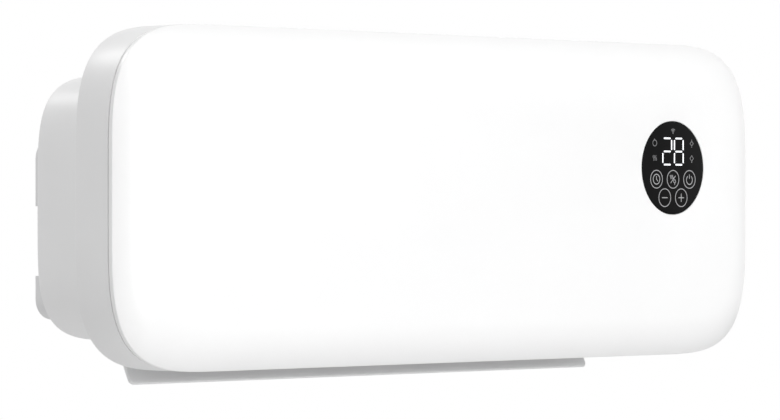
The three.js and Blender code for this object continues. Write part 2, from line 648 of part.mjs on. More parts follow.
/** Tub behind the band, with its top inlet, bottom outlet, screw towers and flap ears. */
function rearHousing() {
  const [back, radius] = [HOUSING_BACK_OUT, HOUSING_BACK_RADIUS];
  const outside = loft([
    ring(HOUSING_OUTLINE, radius, back),
    ring(HOUSING_OUTLINE, radius * EDGE_SHARE, back + radius * EDGE_SHARE),
    ring(HOUSING_OUTLINE, 0, back + radius),
    ring(HOUSING_OUTLINE, 0, HOUSING_FRONT_OUT),
  ]);
  const hollow = loft([
    ring(HOUSING_OUTLINE, HOUSING_WALL + radius / 2, back + HOUSING_WALL),
    ring(HOUSING_OUTLINE, HOUSING_WALL, back + HOUSING_WALL + radius / 2),
    ring(HOUSING_OUTLINE, HOUSING_WALL, HOUSING_FRONT_OUT + EXTRA),
  ]);
  const towerEnd = HOUSING_FRONT_OUT;
  const towers = screwPlaces().map(([x, z]) =>
    rodOut(TOWER_RADIUS, back + EXTRA, towerEnd, x, z, FINE_STEPS),
  );
  const wells = screwPlaces().map(([x, z]) =>
    rodOut(SCREW_HEAD_RADIUS + SEAT_GAP, back - EXTRA, towerEnd - HOUSING_WALL, x, z, FINE_STEPS),
  );
  const shanks = screwPlaces().map(([x, z]) =>
    rodOut(SCREW_SHANK_RADIUS + SEAT_GAP, back - EXTRA, towerEnd + EXTRA, x, z, FINE_STEPS),
  );
  const inlet = windowTool(
    INLET_LENGTH, INLET_BACK, INLET_FRONT,
    HOUSING_TOP - HOUSING_WALL - EXTRA, HOUSING_TOP + EXTRA,
  );
  const outlet = windowTool(
    OUTLET_LENGTH, OUTLET_BACK, OUTLET_FRONT,
    HOUSING_BOTTOM - EXTRA, HOUSING_BOTTOM + HOUSING_WALL + EXTRA,
  );
  const hookSlots = [-1, 1].map((side) =>
    windowTool(
      HOOK_WIDTH + SWING_GAP * 2, back - EXTRA, back + HOUSING_WALL + EXTRA,
      HOOK_HEIGHT - BRACKET_SHEET - SWING_GAP, HOOK_HEIGHT + HOOK_RISE + SWING_GAP,
      side * HOOK_SPACING / 2,
    ),
  );
  const glandHole = rodOut(
    GLAND_RADIUS + SEAT_GAP, back - EXTRA, back + HOUSING_WALL + EXTRA, GLAND_RIGHT, GLAND_UP,
  );
  const switchHole = boxAt(
    HOUSING_WALL * 4,
    SWITCH_WIDTH - SWITCH_FLANGE * 2 + SEAT_GAP * 2,
    SWITCH_HEIGHT - SWITCH_FLANGE * 2 + SEAT_GAP * 2,
    HOUSING_SIDE,
    -SWITCH_OUT,
    SWITCH_UP,
  );
  return carve(carve(outside, { remove: [hollow] }), {
    add: [...towers, ...[-1, 1].map(flapEar)],
    remove: [
      ...wells, ...shanks, inlet, outlet, ...hookSlots, glandHole, switchHole, flapPinHole(),
    ],
  });
}

/** Lug inside the housing's floor that carries one of the flap's pins, and on the left its motor. */
function flapEar(side) {
  const foot = HOUSING_BOTTOM + HOUSING_WALL / 2;
  const carriesMotor = side < 0;
  const top = FLAP_PIVOT_HEIGHT + (carriesMotor ? MOTOR_LUG_RISE : PIN_LUG_RISE);
  const across = carriesMotor ? FLAP_MOTOR_EARS : PIN_LUG_WIDTH;
  const x = side * (OUTLET_LENGTH / 2 + FLAP_ARM_THICKNESS / 2);
  return boxAt(FLAP_ARM_THICKNESS, across, top - foot, x, -FLAP_PIVOT_OUT, (top + foot) / 2);
}

/** Tool for the holes of both ears. */
function flapPinHole() {
  const length = OUTLET_LENGTH + FLAP_ARM_THICKNESS * 4;
  return rodAlongX(
    FLAP_PIN_RADIUS + RUNNING_GAP, length, 0, -FLAP_PIVOT_OUT, FLAP_PIVOT_HEIGHT, FINE_STEPS,
  );
}

/** Grille that clips into the top of the housing: leaning slats in a frame. */
function inletGrille() {
  const length = INLET_LENGTH - SEAT_GAP * 2;
  const width = INLET_FRONT - INLET_BACK - SEAT_GAP * 2;
  const middleOut = (INLET_FRONT + INLET_BACK) / 2;
  const frameShape = roundedRectangle(length, width, FRAME_CORNER);
  frameShape.holes.push(
    roundedRectangle(
      length - GRILLE_FRAME * 2, width - GRILLE_FRAME * 2, FRAME_CORNER, 0, 0, THREE.Path,
    ),
  );
  const frame = new THREE.ExtrudeGeometry(frameShape, {
    depth: GRILLE_DEPTH, bevelEnabled: false, curveSegments: 1,
  }).translate(0, -middleOut, HOUSING_TOP - GRILLE_DEPTH);
  const pitch = (length - GRILLE_FRAME * 2) / (GRILLE_SLATS + 1);
  const slats = Array.from({ length: GRILLE_SLATS }, (_, index) => {
    const slat = new THREE.BoxGeometry(
      GRILLE_SLAT_THICKNESS, width - GRILLE_FRAME, GRILLE_DEPTH - SLAT_RECESS * 2,
    );
    const x = (index - (GRILLE_SLATS - 1) / 2) * pitch;
    return slat.rotateY(radians(GRILLE_LEAN)).translate(
      x, -middleOut, HOUSING_TOP - GRILLE_DEPTH / 2,
    );
  });
  return carve(frame, { add: slats });
}

/** Finger guard inside the outlet, above the flap. */
function outletGuard() {
  const length = DUCT_LENGTH - SEAT_GAP * 2;
  const width = DUCT_FRONT - DUCT_BACK - SEAT_GAP * 2;
  const shape = roundedRectangle(length, width, FRAME_CORNER);
  shape.holes.push(
    roundedRectangle(
      length - GUARD_FRAME * 2, width - GUARD_FRAME * 2, FRAME_CORNER, 0, 0, THREE.Path,
    ),
  );
  const frame = new THREE.ExtrudeGeometry(shape, {
    depth: GUARD_HEIGHT, bevelEnabled: false, curveSegments: 1,
  });
  const pitch = (length - GUARD_FRAME * 2) / (GUARD_VANES + 1);
  const vanes = Array.from({ length: GUARD_VANES }, (_, index) => {
    const x = (index - (GUARD_VANES - 1) / 2) * pitch;
    const across = width - GUARD_FRAME;
    return boxAt(GUARD_VANE_THICKNESS, across, GUARD_HEIGHT - SLAT_RECESS, x, 0, GUARD_HEIGHT / 2);
  });
  const rail = boxAt(
    length - GUARD_FRAME, GUARD_VANE_THICKNESS, GUARD_HEIGHT - SLAT_RECESS * 2,
    0, 0, GUARD_HEIGHT / 2,
  );
  return carve(frame, { add: [...vanes, rail] });
}

// ---- Wall bracket -----------------------------------------------------------

/** Pressed tray on the wall with folded edges, side notches, wall slots and two hooks. */
function wallBracket() {
  const middle = BRACKET_BOTTOM + BRACKET_HEIGHT / 2;
  const outside = extrudeOut(
    roundedRectangle(BRACKET_WIDTH, BRACKET_HEIGHT, BRACKET_CORNER, 0, middle),
    BRACKET_DEPTH, 0, 4,
  );
  const hollow = extrudeOut(
    roundedRectangle(
      BRACKET_WIDTH - BRACKET_SHEET * 2, BRACKET_HEIGHT - BRACKET_SHEET * 2,
      BRACKET_CORNER - BRACKET_SHEET, 0, middle,
    ),
    BRACKET_DEPTH, BRACKET_SHEET, 4,
  );
  const notches = [-1, 1].map((side) =>
    windowTool(
      CORD_NOTCH_WIDTH * 2, -EXTRA, BRACKET_DEPTH + EXTRA,
      CORD_NOTCH_BOTTOM, CORD_NOTCH_BOTTOM + CORD_NOTCH_HEIGHT, side * BRACKET_WIDTH / 2,
    ),
  );
  const slots = [-1, 0, 1].flatMap((place) =>
    [WALL_SLOT_HEIGHT, WALL_SLOT_RISE].map((z) =>
      extrudeOut(
        roundedRectangle(
          WALL_SLOT_LENGTH, WALL_SLOT_WIDTH, WALL_SLOT_WIDTH / 2 - 0.01,
          place * WALL_SLOT_SPACING / 2, z,
        ),
        BRACKET_SHEET + EXTRA * 2,
        -EXTRA,
      ),
    ),
  );
  const hooks = [-1, 1].flatMap((side) => hookParts(side * HOOK_SPACING / 2));
  return carve(carve(outside, { remove: [hollow, ...notches, ...slots] }), { add: hooks });
}

/** Arm and upturned lip of one bracket hook. */
function hookParts(x) {
  const lipOut = HOUSING_BACK_OUT + HOUSING_WALL + SEAT_GAP;
  const tip = lipOut + BRACKET_SHEET;
  const armTop = HOOK_HEIGHT;
  return [
    windowTool(HOOK_WIDTH, BRACKET_SHEET / 2, tip, armTop - BRACKET_SHEET, armTop, x),
    windowTool(HOOK_WIDTH, lipOut, tip, armTop - BRACKET_SHEET, armTop + HOOK_RISE, x),
  ];
}

// ---- Fan --------------------------------------------------------------------

/** Section of one blade: a strip that curls forward from its inner to its outer edge. */
function bladeShape() {
  const inner = FAN_RADIUS - BLADE_CHORD;
  const line = [0, 0.55, 1].map((share) => {
    const radius = inner + (BLADE_CHORD - BLADE_THICKNESS) * share;
    const turn = radians(BLADE_LEAD) * share * share;
    return point(radius * Math.cos(turn), radius * Math.sin(turn));
  });
  return strip(line, BLADE_THICKNESS);
}

/** Cross-flow wheel: curved blades between rings, a solid disc and hub at the driven end. */
function fanWheel() {
  const half = FAN_LENGTH / 2;
  const bladeLength = FAN_LENGTH - FAN_DISC_THICKNESS;
  const inner = FAN_RADIUS - BLADE_CHORD - FAN_DISC_THICKNESS;
  const blade = extrudeAcross(bladeShape(), bladeLength);
  const blades = Array.from({ length: BLADE_COUNT }, (_, index) =>
    blade.clone().rotateX((index / BLADE_COUNT) * Math.PI * 2),
  );
  const spacing = (FAN_LENGTH - FAN_DISC_THICKNESS) / FAN_SECTIONS;
  const rings = Array.from({ length: FAN_SECTIONS - 1 }, (_, index) => {
    const shape = new THREE.Shape().absarc(0, 0, FAN_RADIUS, 0, Math.PI * 2);
    shape.holes.push(roundHole(0, 0, inner, ROUND_STEPS));
    const disc = extrudeAcross(shape, FAN_DISC_THICKNESS, FINE_STEPS);
    return disc.translate(-half + FAN_DISC_THICKNESS / 2 + (index + 1) * spacing, 0, 0);
  });
  const ends = [-1, 1].map((side) =>
    rodAlongX(FAN_RADIUS, FAN_DISC_THICKNESS, side * (half - FAN_DISC_THICKNESS / 2)),
  );
  const hubs = [-1, 1].map((side) =>
    rodAlongX(
      FAN_HUB_RADIUS, FAN_HUB_LENGTH, side * (half - FAN_HUB_LENGTH / 2), 0, 0, FINE_STEPS,
    ),
  );
  const bores = [-1, 1].map((side) =>
    rodAlongX(
      SHAFT_RADIUS + SEAT_GAP, (FAN_HUB_LENGTH + EXTRA) * 2, side * half, 0, 0, FINE_STEPS,
    ),
  );
  const cage = carve(ends[0], { add: [...blades, ...rings, ends[1], ...hubs] });
  return carve(cage, { remove: bores });
}

/** Motor rotor on the shaft that drives the wheel. */
function motorRotor() {
  const hubEnd = FAN_LENGTH / 2 - FAN_HUB_LENGTH + SHAFT_SETBACK;
  const shaftEnd = MOTOR_MIDDLE + MOTOR_STACK / 2 + MOTOR_SHAFT_END;
  const shaft = rodAlongX(
    SHAFT_RADIUS, shaftEnd - hubEnd, (shaftEnd + hubEnd) / 2, 0, 0, FINE_STEPS,
  );
  return carve(shaft, { add: [rodAlongX(ROTOR_RADIUS, MOTOR_STACK, MOTOR_MIDDLE)] });
}

/** Pin that carries the wheel's free end. */
function fanEndPin() {
  const inside = -FAN_LENGTH / 2 + FAN_HUB_LENGTH - SHAFT_SETBACK;
  const outside = -DUCT_END_OUTSIDE - BEARING_DEPTH / 2;
  return rodAlongX(SHAFT_RADIUS, inside - outside, (inside + outside) / 2, 0, 0, FINE_STEPS);
}

/** Rubber-held bush in the left end plate, grooved to clip into it. */
function fanBearing() {
  const bore = SHAFT_RADIUS + RUNNING_GAP;
  const groove = DUCT_END_WALL / 2 + SEAT_GAP;
  const neck = BEARING_RADIUS - BEARING_NECK;
  const half = BEARING_DEPTH / 2;
  const profile = [
    point(bore, -half),
    point(BEARING_RADIUS, -half),
    point(BEARING_RADIUS, -groove),
    point(neck, -groove),
    point(neck, groove),
    point(BEARING_RADIUS, groove),
    point(BEARING_RADIUS, half),
    point(bore, half),
    point(bore, -half),
  ];
  return new THREE.LatheGeometry(profile, ROUND_STEPS).rotateZ(-Math.PI / 2);
}

// ---- Air duct ---------------------------------------------------------------

/** Wall behind the wheel: a scroll that widens downwards and runs into the outlet duct. */
function scrollRear() {
  const nearest = FAN_RADIUS + FAN_CLEARANCE + DUCT_WALL / 2;
  const line = [
    ...spiral(FAN_AXIS, SCROLL_FROM, SCROLL_TO, nearest, nearest + FAN_CLEARANCE, SCROLL_STEPS),
    point(DUCT_BACK - DUCT_WALL / 2, HEATER_MIDDLE + HEATER_HEIGHT),
    point(DUCT_BACK - DUCT_WALL / 2, DUCT_FOOT),
  ];
  return extrudeAcross(strip(line, DUCT_WALL), DUCT_LENGTH);
}

/** Wall in front of the wheel: the outlet duct's front and the tongue that parts the streams. */
function scrollFront() {
  const nearest = FAN_RADIUS + FAN_CLEARANCE + DUCT_WALL / 2;
  const line = [
    point(DUCT_FRONT + DUCT_WALL / 2, DUCT_FOOT),
    point(DUCT_FRONT + DUCT_WALL / 2, HEATER_MIDDLE + HEATER_HEIGHT),
    ...spiral(FAN_AXIS, TONGUE_FROM, TONGUE_TO, nearest, nearest - FAN_CLEARANCE / 2, TONGUE_STEPS),
  ];
  return extrudeAcross(strip(line, DUCT_WALL), DUCT_LENGTH);
}

/** End plate of the duct, with a hole for the wheel's shaft or its bearing. */
function ductEnd(holeRadius) {
  const width = DUCT_END_FRONT - DUCT_END_BACK;
  const height = DUCT_END_TOP - DUCT_FOOT;
  const shape = roundedRectangle(
    width, height, DUCT_END_CORNER,
    (DUCT_END_FRONT + DUCT_END_BACK) / 2, (DUCT_END_TOP + DUCT_FOOT) / 2,
  );
  shape.holes.push(roundHole(FAN_OUT, FAN_HEIGHT, holeRadius, ROUND_STEPS));
  return extrudeAcross(shape, DUCT_END_WALL, 3);
}

// ---- Heater -----------------------------------------------------------------

/** Flat aluminium tube that holds the heating stones. */
function heaterTube() {
  const shape = roundedRectangle(HEATER_TUBE, HEATER_HEIGHT, HEATER_TUBE / 2 - 0.01);
  return extrudeAcross(shape, HEATER_LENGTH, 3);
}

/** Corrugated fin ribbon that lies against a heating tube. */
function heaterFins() {
  const length = HEATER_LENGTH - (HEATER_SOCKET + SEAT_GAP) * 2;
  const pitch = length / FIN_WAVES;
  const reach = (FIN_DEPTH - FIN_SHEET) / 2;
  const line = [];
  for (let wave = 0; wave < FIN_WAVES; wave += 1) {
    const x = (wave - FIN_WAVES / 2) * pitch;
    const turn = pitch * FIN_TURN;
    line.push(point(x + turn, -reach), point(x + pitch / 2 - turn, -reach));
    line.push(point(x + pitch / 2 + turn, reach), point(x + pitch - turn, reach));
  }
  const ribbon = new THREE.ExtrudeGeometry(strip(line, FIN_SHEET), {
    depth: HEATER_HEIGHT, bevelEnabled: false,
  });
  return ribbon.translate(0, 0, -HEATER_HEIGHT / 2);
}

/** Heat-proof block that holds one end of both tubes. */
function heaterEnd(side) {
  const width = DUCT_FRONT - DUCT_BACK - SEAT_GAP * 2;
  const height = HEATER_HEIGHT + HEATER_END_RIM * 2;
  const block = new THREE.BoxGeometry(HEATER_END_LENGTH, width, height);
  const sockets = heaterTubePlaces().map((y) =>
    boxAt(
      (HEATER_SOCKET + SEAT_GAP) * 2, HEATER_TUBE + SEAT_GAP * 2, HEATER_HEIGHT + SEAT_GAP * 2,
      -side * HEATER_END_LENGTH / 2, y, 0,
    ),
  );
  return carve(block, { remove: sockets });
}

/** Distances of the two tubes from the heater's middle line. */
function heaterTubePlaces() {
  const offset = (FIN_DEPTH + HEATER_TUBE) / 2 + SEAT_GAP;
  return [-offset, offset];
}

/** Round thermal cut-out with its mounting ears. */
function thermalCutout() {
  const profile = [
    point(0, 0),
    point(CUTOUT_FLANGE_RADIUS, 0),
    point(CUTOUT_FLANGE_RADIUS, CUTOUT_FLANGE_DEPTH),
    point(CUTOUT_RADIUS, CUTOUT_FLANGE_DEPTH),
    point(CUTOUT_RADIUS, CUTOUT_DEPTH),
    point(0, CUTOUT_DEPTH),
  ];
  const body = new THREE.LatheGeometry(profile, ROUND_STEPS).rotateZ(Math.PI / 2);
  const ears = boxAt(
    CUTOUT_EAR_SHEET, CUTOUT_EAR_LENGTH, CUTOUT_FLANGE_RADIUS, -CUTOUT_EAR_SHEET * 0.75, 0, 0,
  );
  return carve(body, { add: [ears] });
}

// ---- Fan motor --------------------------------------------------------------

/** Laminated core: a bore for the rotor above and a window for the coil below. */
function motorCore() {
  const shape = roundedRectangle(
    MOTOR_CORE_WIDTH, MOTOR_CORE_TOP - MOTOR_CORE_BOTTOM, MOTOR_CORE_CORNER,
    0, (MOTOR_CORE_TOP + MOTOR_CORE_BOTTOM) / 2,
  );
  const windowMiddle = MOTOR_WINDOW_TOP - MOTOR_WINDOW / 2;
  shape.holes.push(roundHole(0, 0, MOTOR_BORE, ROUND_STEPS));
  shape.holes.push(
    roundedRectangle(
      MOTOR_CORE_WIDTH - MOTOR_LEG, MOTOR_WINDOW, MOTOR_WINDOW_CORNER,
      0, windowMiddle, THREE.Path,
    ),
  );
  for (const side of [-1, 1]) {
    const x = (side * MOTOR_SCREW_SPACING) / 2;
    shape.holes.push(roundHole(x, MOTOR_SCREW_RISE, MOTOR_SCREW_RADIUS + SEAT_GAP));
  }
  return extrudeAcross(shape, MOTOR_STACK, 3);
}

/** Coil on its bobbin, wound round the core's lower leg; its middle is the leg's. */
function motorCoil() {
  const width = MOTOR_CORE_WIDTH - MOTOR_LEG - SEAT_GAP * 2 - COIL_CHEEK * 2;
  const thickness = MOTOR_WINDOW - SEAT_GAP * 2;
  const outer = roundedRectangle(
    MOTOR_STACK + thickness * 2, MOTOR_LEG + thickness * 2, thickness,
  );
  outer.holes.push(
    roundedRectangle(
      MOTOR_STACK + SEAT_GAP * 2, MOTOR_LEG + SEAT_GAP * 2, SEAT_GAP, 0, 0, THREE.Path,
    ),
  );
  return extrudeOut(outer, width, -width / 2);
}

/** Die-cast bridge across the core's face that carries one of the shaft's bushes. */
function motorBridge(side) {
  const arm = extrudeAcross(
    roundedRectangle(MOTOR_CORE_WIDTH, MOTOR_ARM_WIDTH, MOTOR_ARM_CORNER, 0, MOTOR_SCREW_RISE),
    MOTOR_BRIDGE, 3,
  );
  const boss = rodAlongX(MOTOR_BOSS_RADIUS, MOTOR_BRIDGE, 0, 0, 0, FINE_STEPS);
  const bore = rodAlongX(SHAFT_RADIUS + RUNNING_GAP, MOTOR_BRIDGE * 3, 0, 0, 0, FINE_STEPS);
  const neck = boxAt(
    MOTOR_BRIDGE, SHAFT_RADIUS * 4, MOTOR_SCREW_RISE, 0, 0, MOTOR_SCREW_RISE / 2,
  );
  const places = [-1, 1].map((part) => (part * MOTOR_SCREW_SPACING) / 2);
  const feet = places.map((y) =>
    rodAlongX(
      MOTOR_SCREW_RADIUS * 2, MOTOR_STANDOFF + MOTOR_BRIDGE / 2,
      -(MOTOR_STANDOFF + MOTOR_BRIDGE / 2) / 2, y, MOTOR_SCREW_RISE, FINE_STEPS,
    ),
  );
  const holes = places.map((y) =>
    rodAlongX(
      MOTOR_SCREW_RADIUS + SEAT_GAP, (MOTOR_BRIDGE + MOTOR_STANDOFF) * 3,
      0, y, MOTOR_SCREW_RISE, FINE_STEPS,
    ),
  );
  return carve(arm, {
    add: [boss, neck, ...(side < 0 ? feet : [])],
    remove: [bore, ...holes],
  });
}

/** Long screw through both bridges and the core. */
function motorScrew() {
  const from = DUCT_END_OUTSIDE + SEAT_GAP * 2;
  const to = MOTOR_MIDDLE + MOTOR_STACK / 2 + SEAT_GAP + MOTOR_BRIDGE;
  const shank = rodAlongX(
    MOTOR_SCREW_RADIUS, to - from + EXTRA, (from + to + EXTRA) / 2, 0, 0, FINE_STEPS,
  );
  const head = rodAlongX(
    MOTOR_SCREW_HEAD_RADIUS, MOTOR_SCREW_HEAD, to + SEAT_GAP + MOTOR_SCREW_HEAD / 2,
    0, 0, FINE_STEPS,
  );
  return carve(shank, { add: [head] });
}

// ---- Flap -------------------------------------------------------------------

/** The flap in its closed, level place about its pivot: a bowed blade, two arms and two pins. */
function outletFlap() {
  const under = -FLAP_PIVOT_LIFT;
  const blade = extrudeAcross(flapSection(under), FLAP_LENGTH);
  const plan = roundedRectangle(
    FLAP_LENGTH, FLAP_REACH + FLAP_HEEL + FLAP_CORNER, FLAP_CORNER,
    0, -(FLAP_REACH - FLAP_HEEL - FLAP_CORNER) / 2,
  );
  const planTool = new THREE.ExtrudeGeometry(plan, {
    depth: FLAP_PIVOT_LIFT * 2, bevelEnabled: false, curveSegments: 4,
  }).translate(0, 0, -FLAP_PIVOT_LIFT * 1.5);
  const armX = FLAP_LENGTH / 2 - FLAP_ARM_THICKNESS / 2;
  const armShape = new THREE.Shape();
  armShape.moveTo(-FLAP_HEEL, under + FLAP_THICKNESS / 2);
  armShape.lineTo(FLAP_REACH * FLAP_ARM_SHARE, under + FLAP_THICKNESS / 2);
  armShape.absarc(0, 0, FLAP_KNUCKLE_RADIUS, radians(20), radians(180));
  armShape.closePath();
  const arms = [-1, 1].map((side) =>
    extrudeAcross(armShape, FLAP_ARM_THICKNESS, 8).translate(side * armX, 0, 0),
  );
  const pins = [-1, 1].map((side) =>
    rodAlongX(
      FLAP_PIN_RADIUS, FLAP_PIN_LENGTH, side * (armX + FLAP_PIN_LENGTH / 2), 0, 0, FINE_STEPS,
    ),
  );
  return carve(overlapOf(blade, planTool), { add: [...arms, ...pins] });
}

/** Section of the flap's blade: two bowed faces that meet in a rounded front edge. */
function flapSection(under) {
  const steps = FLAP_STEPS;
  const length = FLAP_REACH + FLAP_HEEL;
  const face = (lift, share) =>
    point(-FLAP_HEEL + length * share, under + lift - FLAP_BOW * (4 * share * (1 - share) - 1));
  const lower = Array.from({ length: steps + 1 }, (_, step) => face(-FLAP_BOW, step / steps));
  const upper = Array.from({ length: steps + 1 }, (_, step) =>
    face(FLAP_THICKNESS - FLAP_BOW, 1 - step / steps),
  );
  lower[steps].x -= FLAP_NOSE;
  upper[0].x -= FLAP_NOSE;
  const nose = point(FLAP_REACH, (lower[steps].y + upper[0].y) / 2);
  return new THREE.Shape([...lower, nose, ...upper]);
}

/** Small stepper motor whose shaft lies off the middle of its round case. */
function flapMotor() {
  const steps = ROUND_STEPS;
  const body = rodAlongX(
    FLAP_MOTOR_RADIUS, FLAP_MOTOR_LENGTH, 0, 0, FLAP_MOTOR_OFFSET, steps,
  );
  const ears = boxAt(
    FLAP_MOTOR_EAR_SHEET, FLAP_MOTOR_EARS, FLAP_MOTOR_OFFSET,
    (FLAP_MOTOR_LENGTH - FLAP_MOTOR_EAR_SHEET) / 2, 0, FLAP_MOTOR_OFFSET,
  );
  const socket = rodAlongX(
    FLAP_PIN_RADIUS + SEAT_GAP, FLAP_PIN_LENGTH, FLAP_MOTOR_LENGTH / 2, 0, 0, FINE_STEPS,
  );
  const collarLength = FLAP_PIN_RADIUS * 2;
  const collar = rodAlongX(
    FLAP_PIN_RADIUS * 2, collarLength, (FLAP_MOTOR_LENGTH - collarLength) / 2, 0, 0, FINE_STEPS,
  );
  return carve(body, { add: [ears, collar], remove: [socket] });
}

// ---- Display electronics ----------------------------------------------------

/** Round board behind the lens. */
function touchBoard() {
  const shape = new THREE.Shape().absarc(0, 0, DISPLAY_RADIUS, 0, Math.PI * 2);
  return new THREE.ExtrudeGeometry(shape, {
    depth: BOARD_THICKNESS, bevelEnabled: false, curveSegments: ROUND_STEPS / 2,
  }).rotateX(Math.PI / 2);
}

/** Block of two seven-segment digits. */
function digitModule(depth) {
  return extrudeOut(
    roundedRectangle(DIGIT_BLOCK_WIDTH, DIGIT_BLOCK_HEIGHT, DIGIT_BLOCK_CORNER), depth,
  );
}

/** Places of the five touch keys about the lens's middle. */
function keyPlaces() {
  const upper = [-1, 0, 1].map((place) => [place * KEY_PITCH, -UPPER_KEYS_DOWN]);
  const lower = [-0.5, 0.5].map((place) => [place * KEY_PITCH, -LOWER_KEYS_DOWN]);
  return [...upper, ...lower];
}

/** Conical touch spring between the board and the glass. */
function touchSpring(depth) {
  const profile = [
    point(0, 0),
    point(KEY_DIAMETER * SPRING_FOOT_SHARE, 0),
    point(SPRING_TIP_RADIUS, depth),
    point(0, depth),
  ];
  return new THREE.LatheGeometry(profile, FINE_STEPS).rotateX(Math.PI);
}

// ---- Power electronics ------------------------------------------------------

/** Power board with its four screw holes. */
function powerBoard() {
  const shape = roundedRectangle(
    POWER_BOARD_WIDTH, POWER_BOARD_HEIGHT, BOARD_CORNER, POWER_BOARD_RIGHT, POWER_BOARD_UP,
  );
  for (const [x, z] of boardScrewPlaces()) {
    shape.holes.push(roundHole(x, z, BOARD_SCREW_RADIUS + SEAT_GAP));
  }
  return extrudeOut(shape, BOARD_THICKNESS, POWER_BOARD_OUT);
}

/** Screw that holds the board, with a domed head. */
function boardScrew() {
  const profile = [
    point(0, -BOARD_SCREW_LENGTH),
    point(BOARD_SCREW_RADIUS, -BOARD_SCREW_LENGTH),
    point(BOARD_SCREW_RADIUS, 0),
    point(BOARD_SCREW_HEAD_RADIUS, 0),
    point(BOARD_SCREW_HEAD_RADIUS * 0.8, BOARD_SCREW_HEAD * 0.75),
    point(0, BOARD_SCREW_HEAD),
  ];
  return new THREE.LatheGeometry(profile, FINE_STEPS).rotateX(Math.PI);
}

/** Block of a relay or a capacitor, standing out of the board. */
function componentBlock([width, height, depth]) {
  return new THREE.BoxGeometry(width, depth, height).translate(0, -depth / 2, 0);
}

/** Terminal block with three wire ports and three screw wells. */
function terminalBlock() {
  const [width, depth, height] = TERMINAL_SIZE;
  const block = new THREE.BoxGeometry(width, depth, height);
  const pitch = width / TERMINAL_POLES;
  const places = Array.from(
    { length: TERMINAL_POLES }, (_, pole) => (pole - (TERMINAL_POLES - 1) / 2) * pitch,
  );
  const ports = places.map((x) =>
    boxAt(pitch * TERMINAL_PORT_SHARE, depth * 0.4, height + EXTRA * 2, x, depth * 0.1, 0),
  );
  const wells = places.map((x) =>
    rodOut(pitch * TERMINAL_WELL_SHARE, 0, depth, x, 0, FINE_STEPS),
  );
  return carve(block, { remove: [...ports, ...wells] });
}

// ---- Switch, gland and screws -----------------------------------------------

/** Frame of the main switch: a flange on the housing's side and a hollow body inside it. */
function switchFrame() {
  const flange = boxAt(SWITCH_FLANGE, SWITCH_WIDTH, SWITCH_HEIGHT, SWITCH_FLANGE / 2, 0, 0);
  const bodyWidth = SWITCH_WIDTH - SWITCH_FLANGE * 2;
  const bodyHeight = SWITCH_HEIGHT - SWITCH_FLANGE * 2;
  const body = boxAt(
    SWITCH_BODY_DEPTH + SWITCH_FLANGE / 2, bodyWidth, bodyHeight,
    -(SWITCH_BODY_DEPTH - SWITCH_FLANGE / 2) / 2, 0, 0,
  );
  const well = boxAt(
    SWITCH_WELL * 2, bodyWidth - SWITCH_FRAME_WALL * 2, bodyHeight - SWITCH_FRAME_WALL * 2,
    SWITCH_FLANGE, 0, 0,
  );
  return carve(flange, { add: [body], remove: [well] });
}

/** Rocker with a hollowed top, turning about a pivot inside its frame. */
function switchRocker() {
  const width = SWITCH_WIDTH - (SWITCH_FLANGE + SWITCH_FRAME_WALL) * 2 - SEAT_GAP * 4;
  const height = SWITCH_HEIGHT - (SWITCH_FLANGE + SWITCH_FRAME_WALL) * 2 - SEAT_GAP * 2;
  const half = width / 2;
  const crest = ROCKER_PIVOT_DEPTH + ROCKER_PROUD;
  const shape = new THREE.Shape();
  const [foot, side] = [half * ROCKER_ROOT_SHARE, half * ROCKER_SIDE_SHARE];
  shape.moveTo(-foot, -ROCKER_ROOT);
  shape.lineTo(foot, -ROCKER_ROOT);
  shape.lineTo(side, 0);
  shape.lineTo(side, crest);
  shape.quadraticCurveTo(0, crest - ROCKER_HOLLOW, -side, crest);
  shape.lineTo(-side, 0);
  shape.closePath();
  const body = new THREE.ExtrudeGeometry(shape, {
    depth: height, bevelEnabled: false, curveSegments: 6,
  }).translate(0, 0, -height / 2);
  const frame = new THREE.Matrix4().makeBasis(
    new THREE.Vector3(0, 1, 0), new THREE.Vector3(1, 0, 0), new THREE.Vector3(0, 0, -1),
  );
  return body.applyMatrix4(frame);
}

/** Round bush in the housing's back, where the supply lead goes in. */
function cordGland() {
  const inside = HOUSING_WALL + SEAT_GAP;
  const profile = [
    point(GLAND_BORE, -GLAND_TAIL),
    point(GLAND_RADIUS - GLAND_EDGE, -GLAND_TAIL),
    point(GLAND_RADIUS, -GLAND_TAIL + GLAND_EDGE),
    point(GLAND_RADIUS, inside),
    point(GLAND_RADIUS + GLAND_FLANGE, inside),
    point(GLAND_RADIUS + GLAND_FLANGE, inside + GLAND_FLANGE),
    point(GLAND_BORE, inside + GLAND_FLANGE),
    point(GLAND_BORE, -GLAND_TAIL),
  ];
  return new THREE.LatheGeometry(profile, ROUND_STEPS).rotateX(Math.PI);
}

/** Pan-head screw driven from the back through a tower into the band. */
function housingScrew() {
  const profile = [
    point(0, -SCREW_HEAD_HEIGHT),
    point(SCREW_HEAD_RADIUS * 0.8, -SCREW_HEAD_HEIGHT),
    point(SCREW_HEAD_RADIUS, -SCREW_HEAD_HEIGHT * 0.5),
    point(SCREW_HEAD_RADIUS, 0),
    point(SCREW_SHANK_RADIUS, 0),
    point(SCREW_SHANK_RADIUS, SCREW_LENGTH),
    point(0, SCREW_LENGTH + SCREW_TIP),
  ];
  return new THREE.LatheGeometry(profile, FINE_STEPS).rotateX(Math.PI);
}

// ---- Materials --------------------------------------------------------------

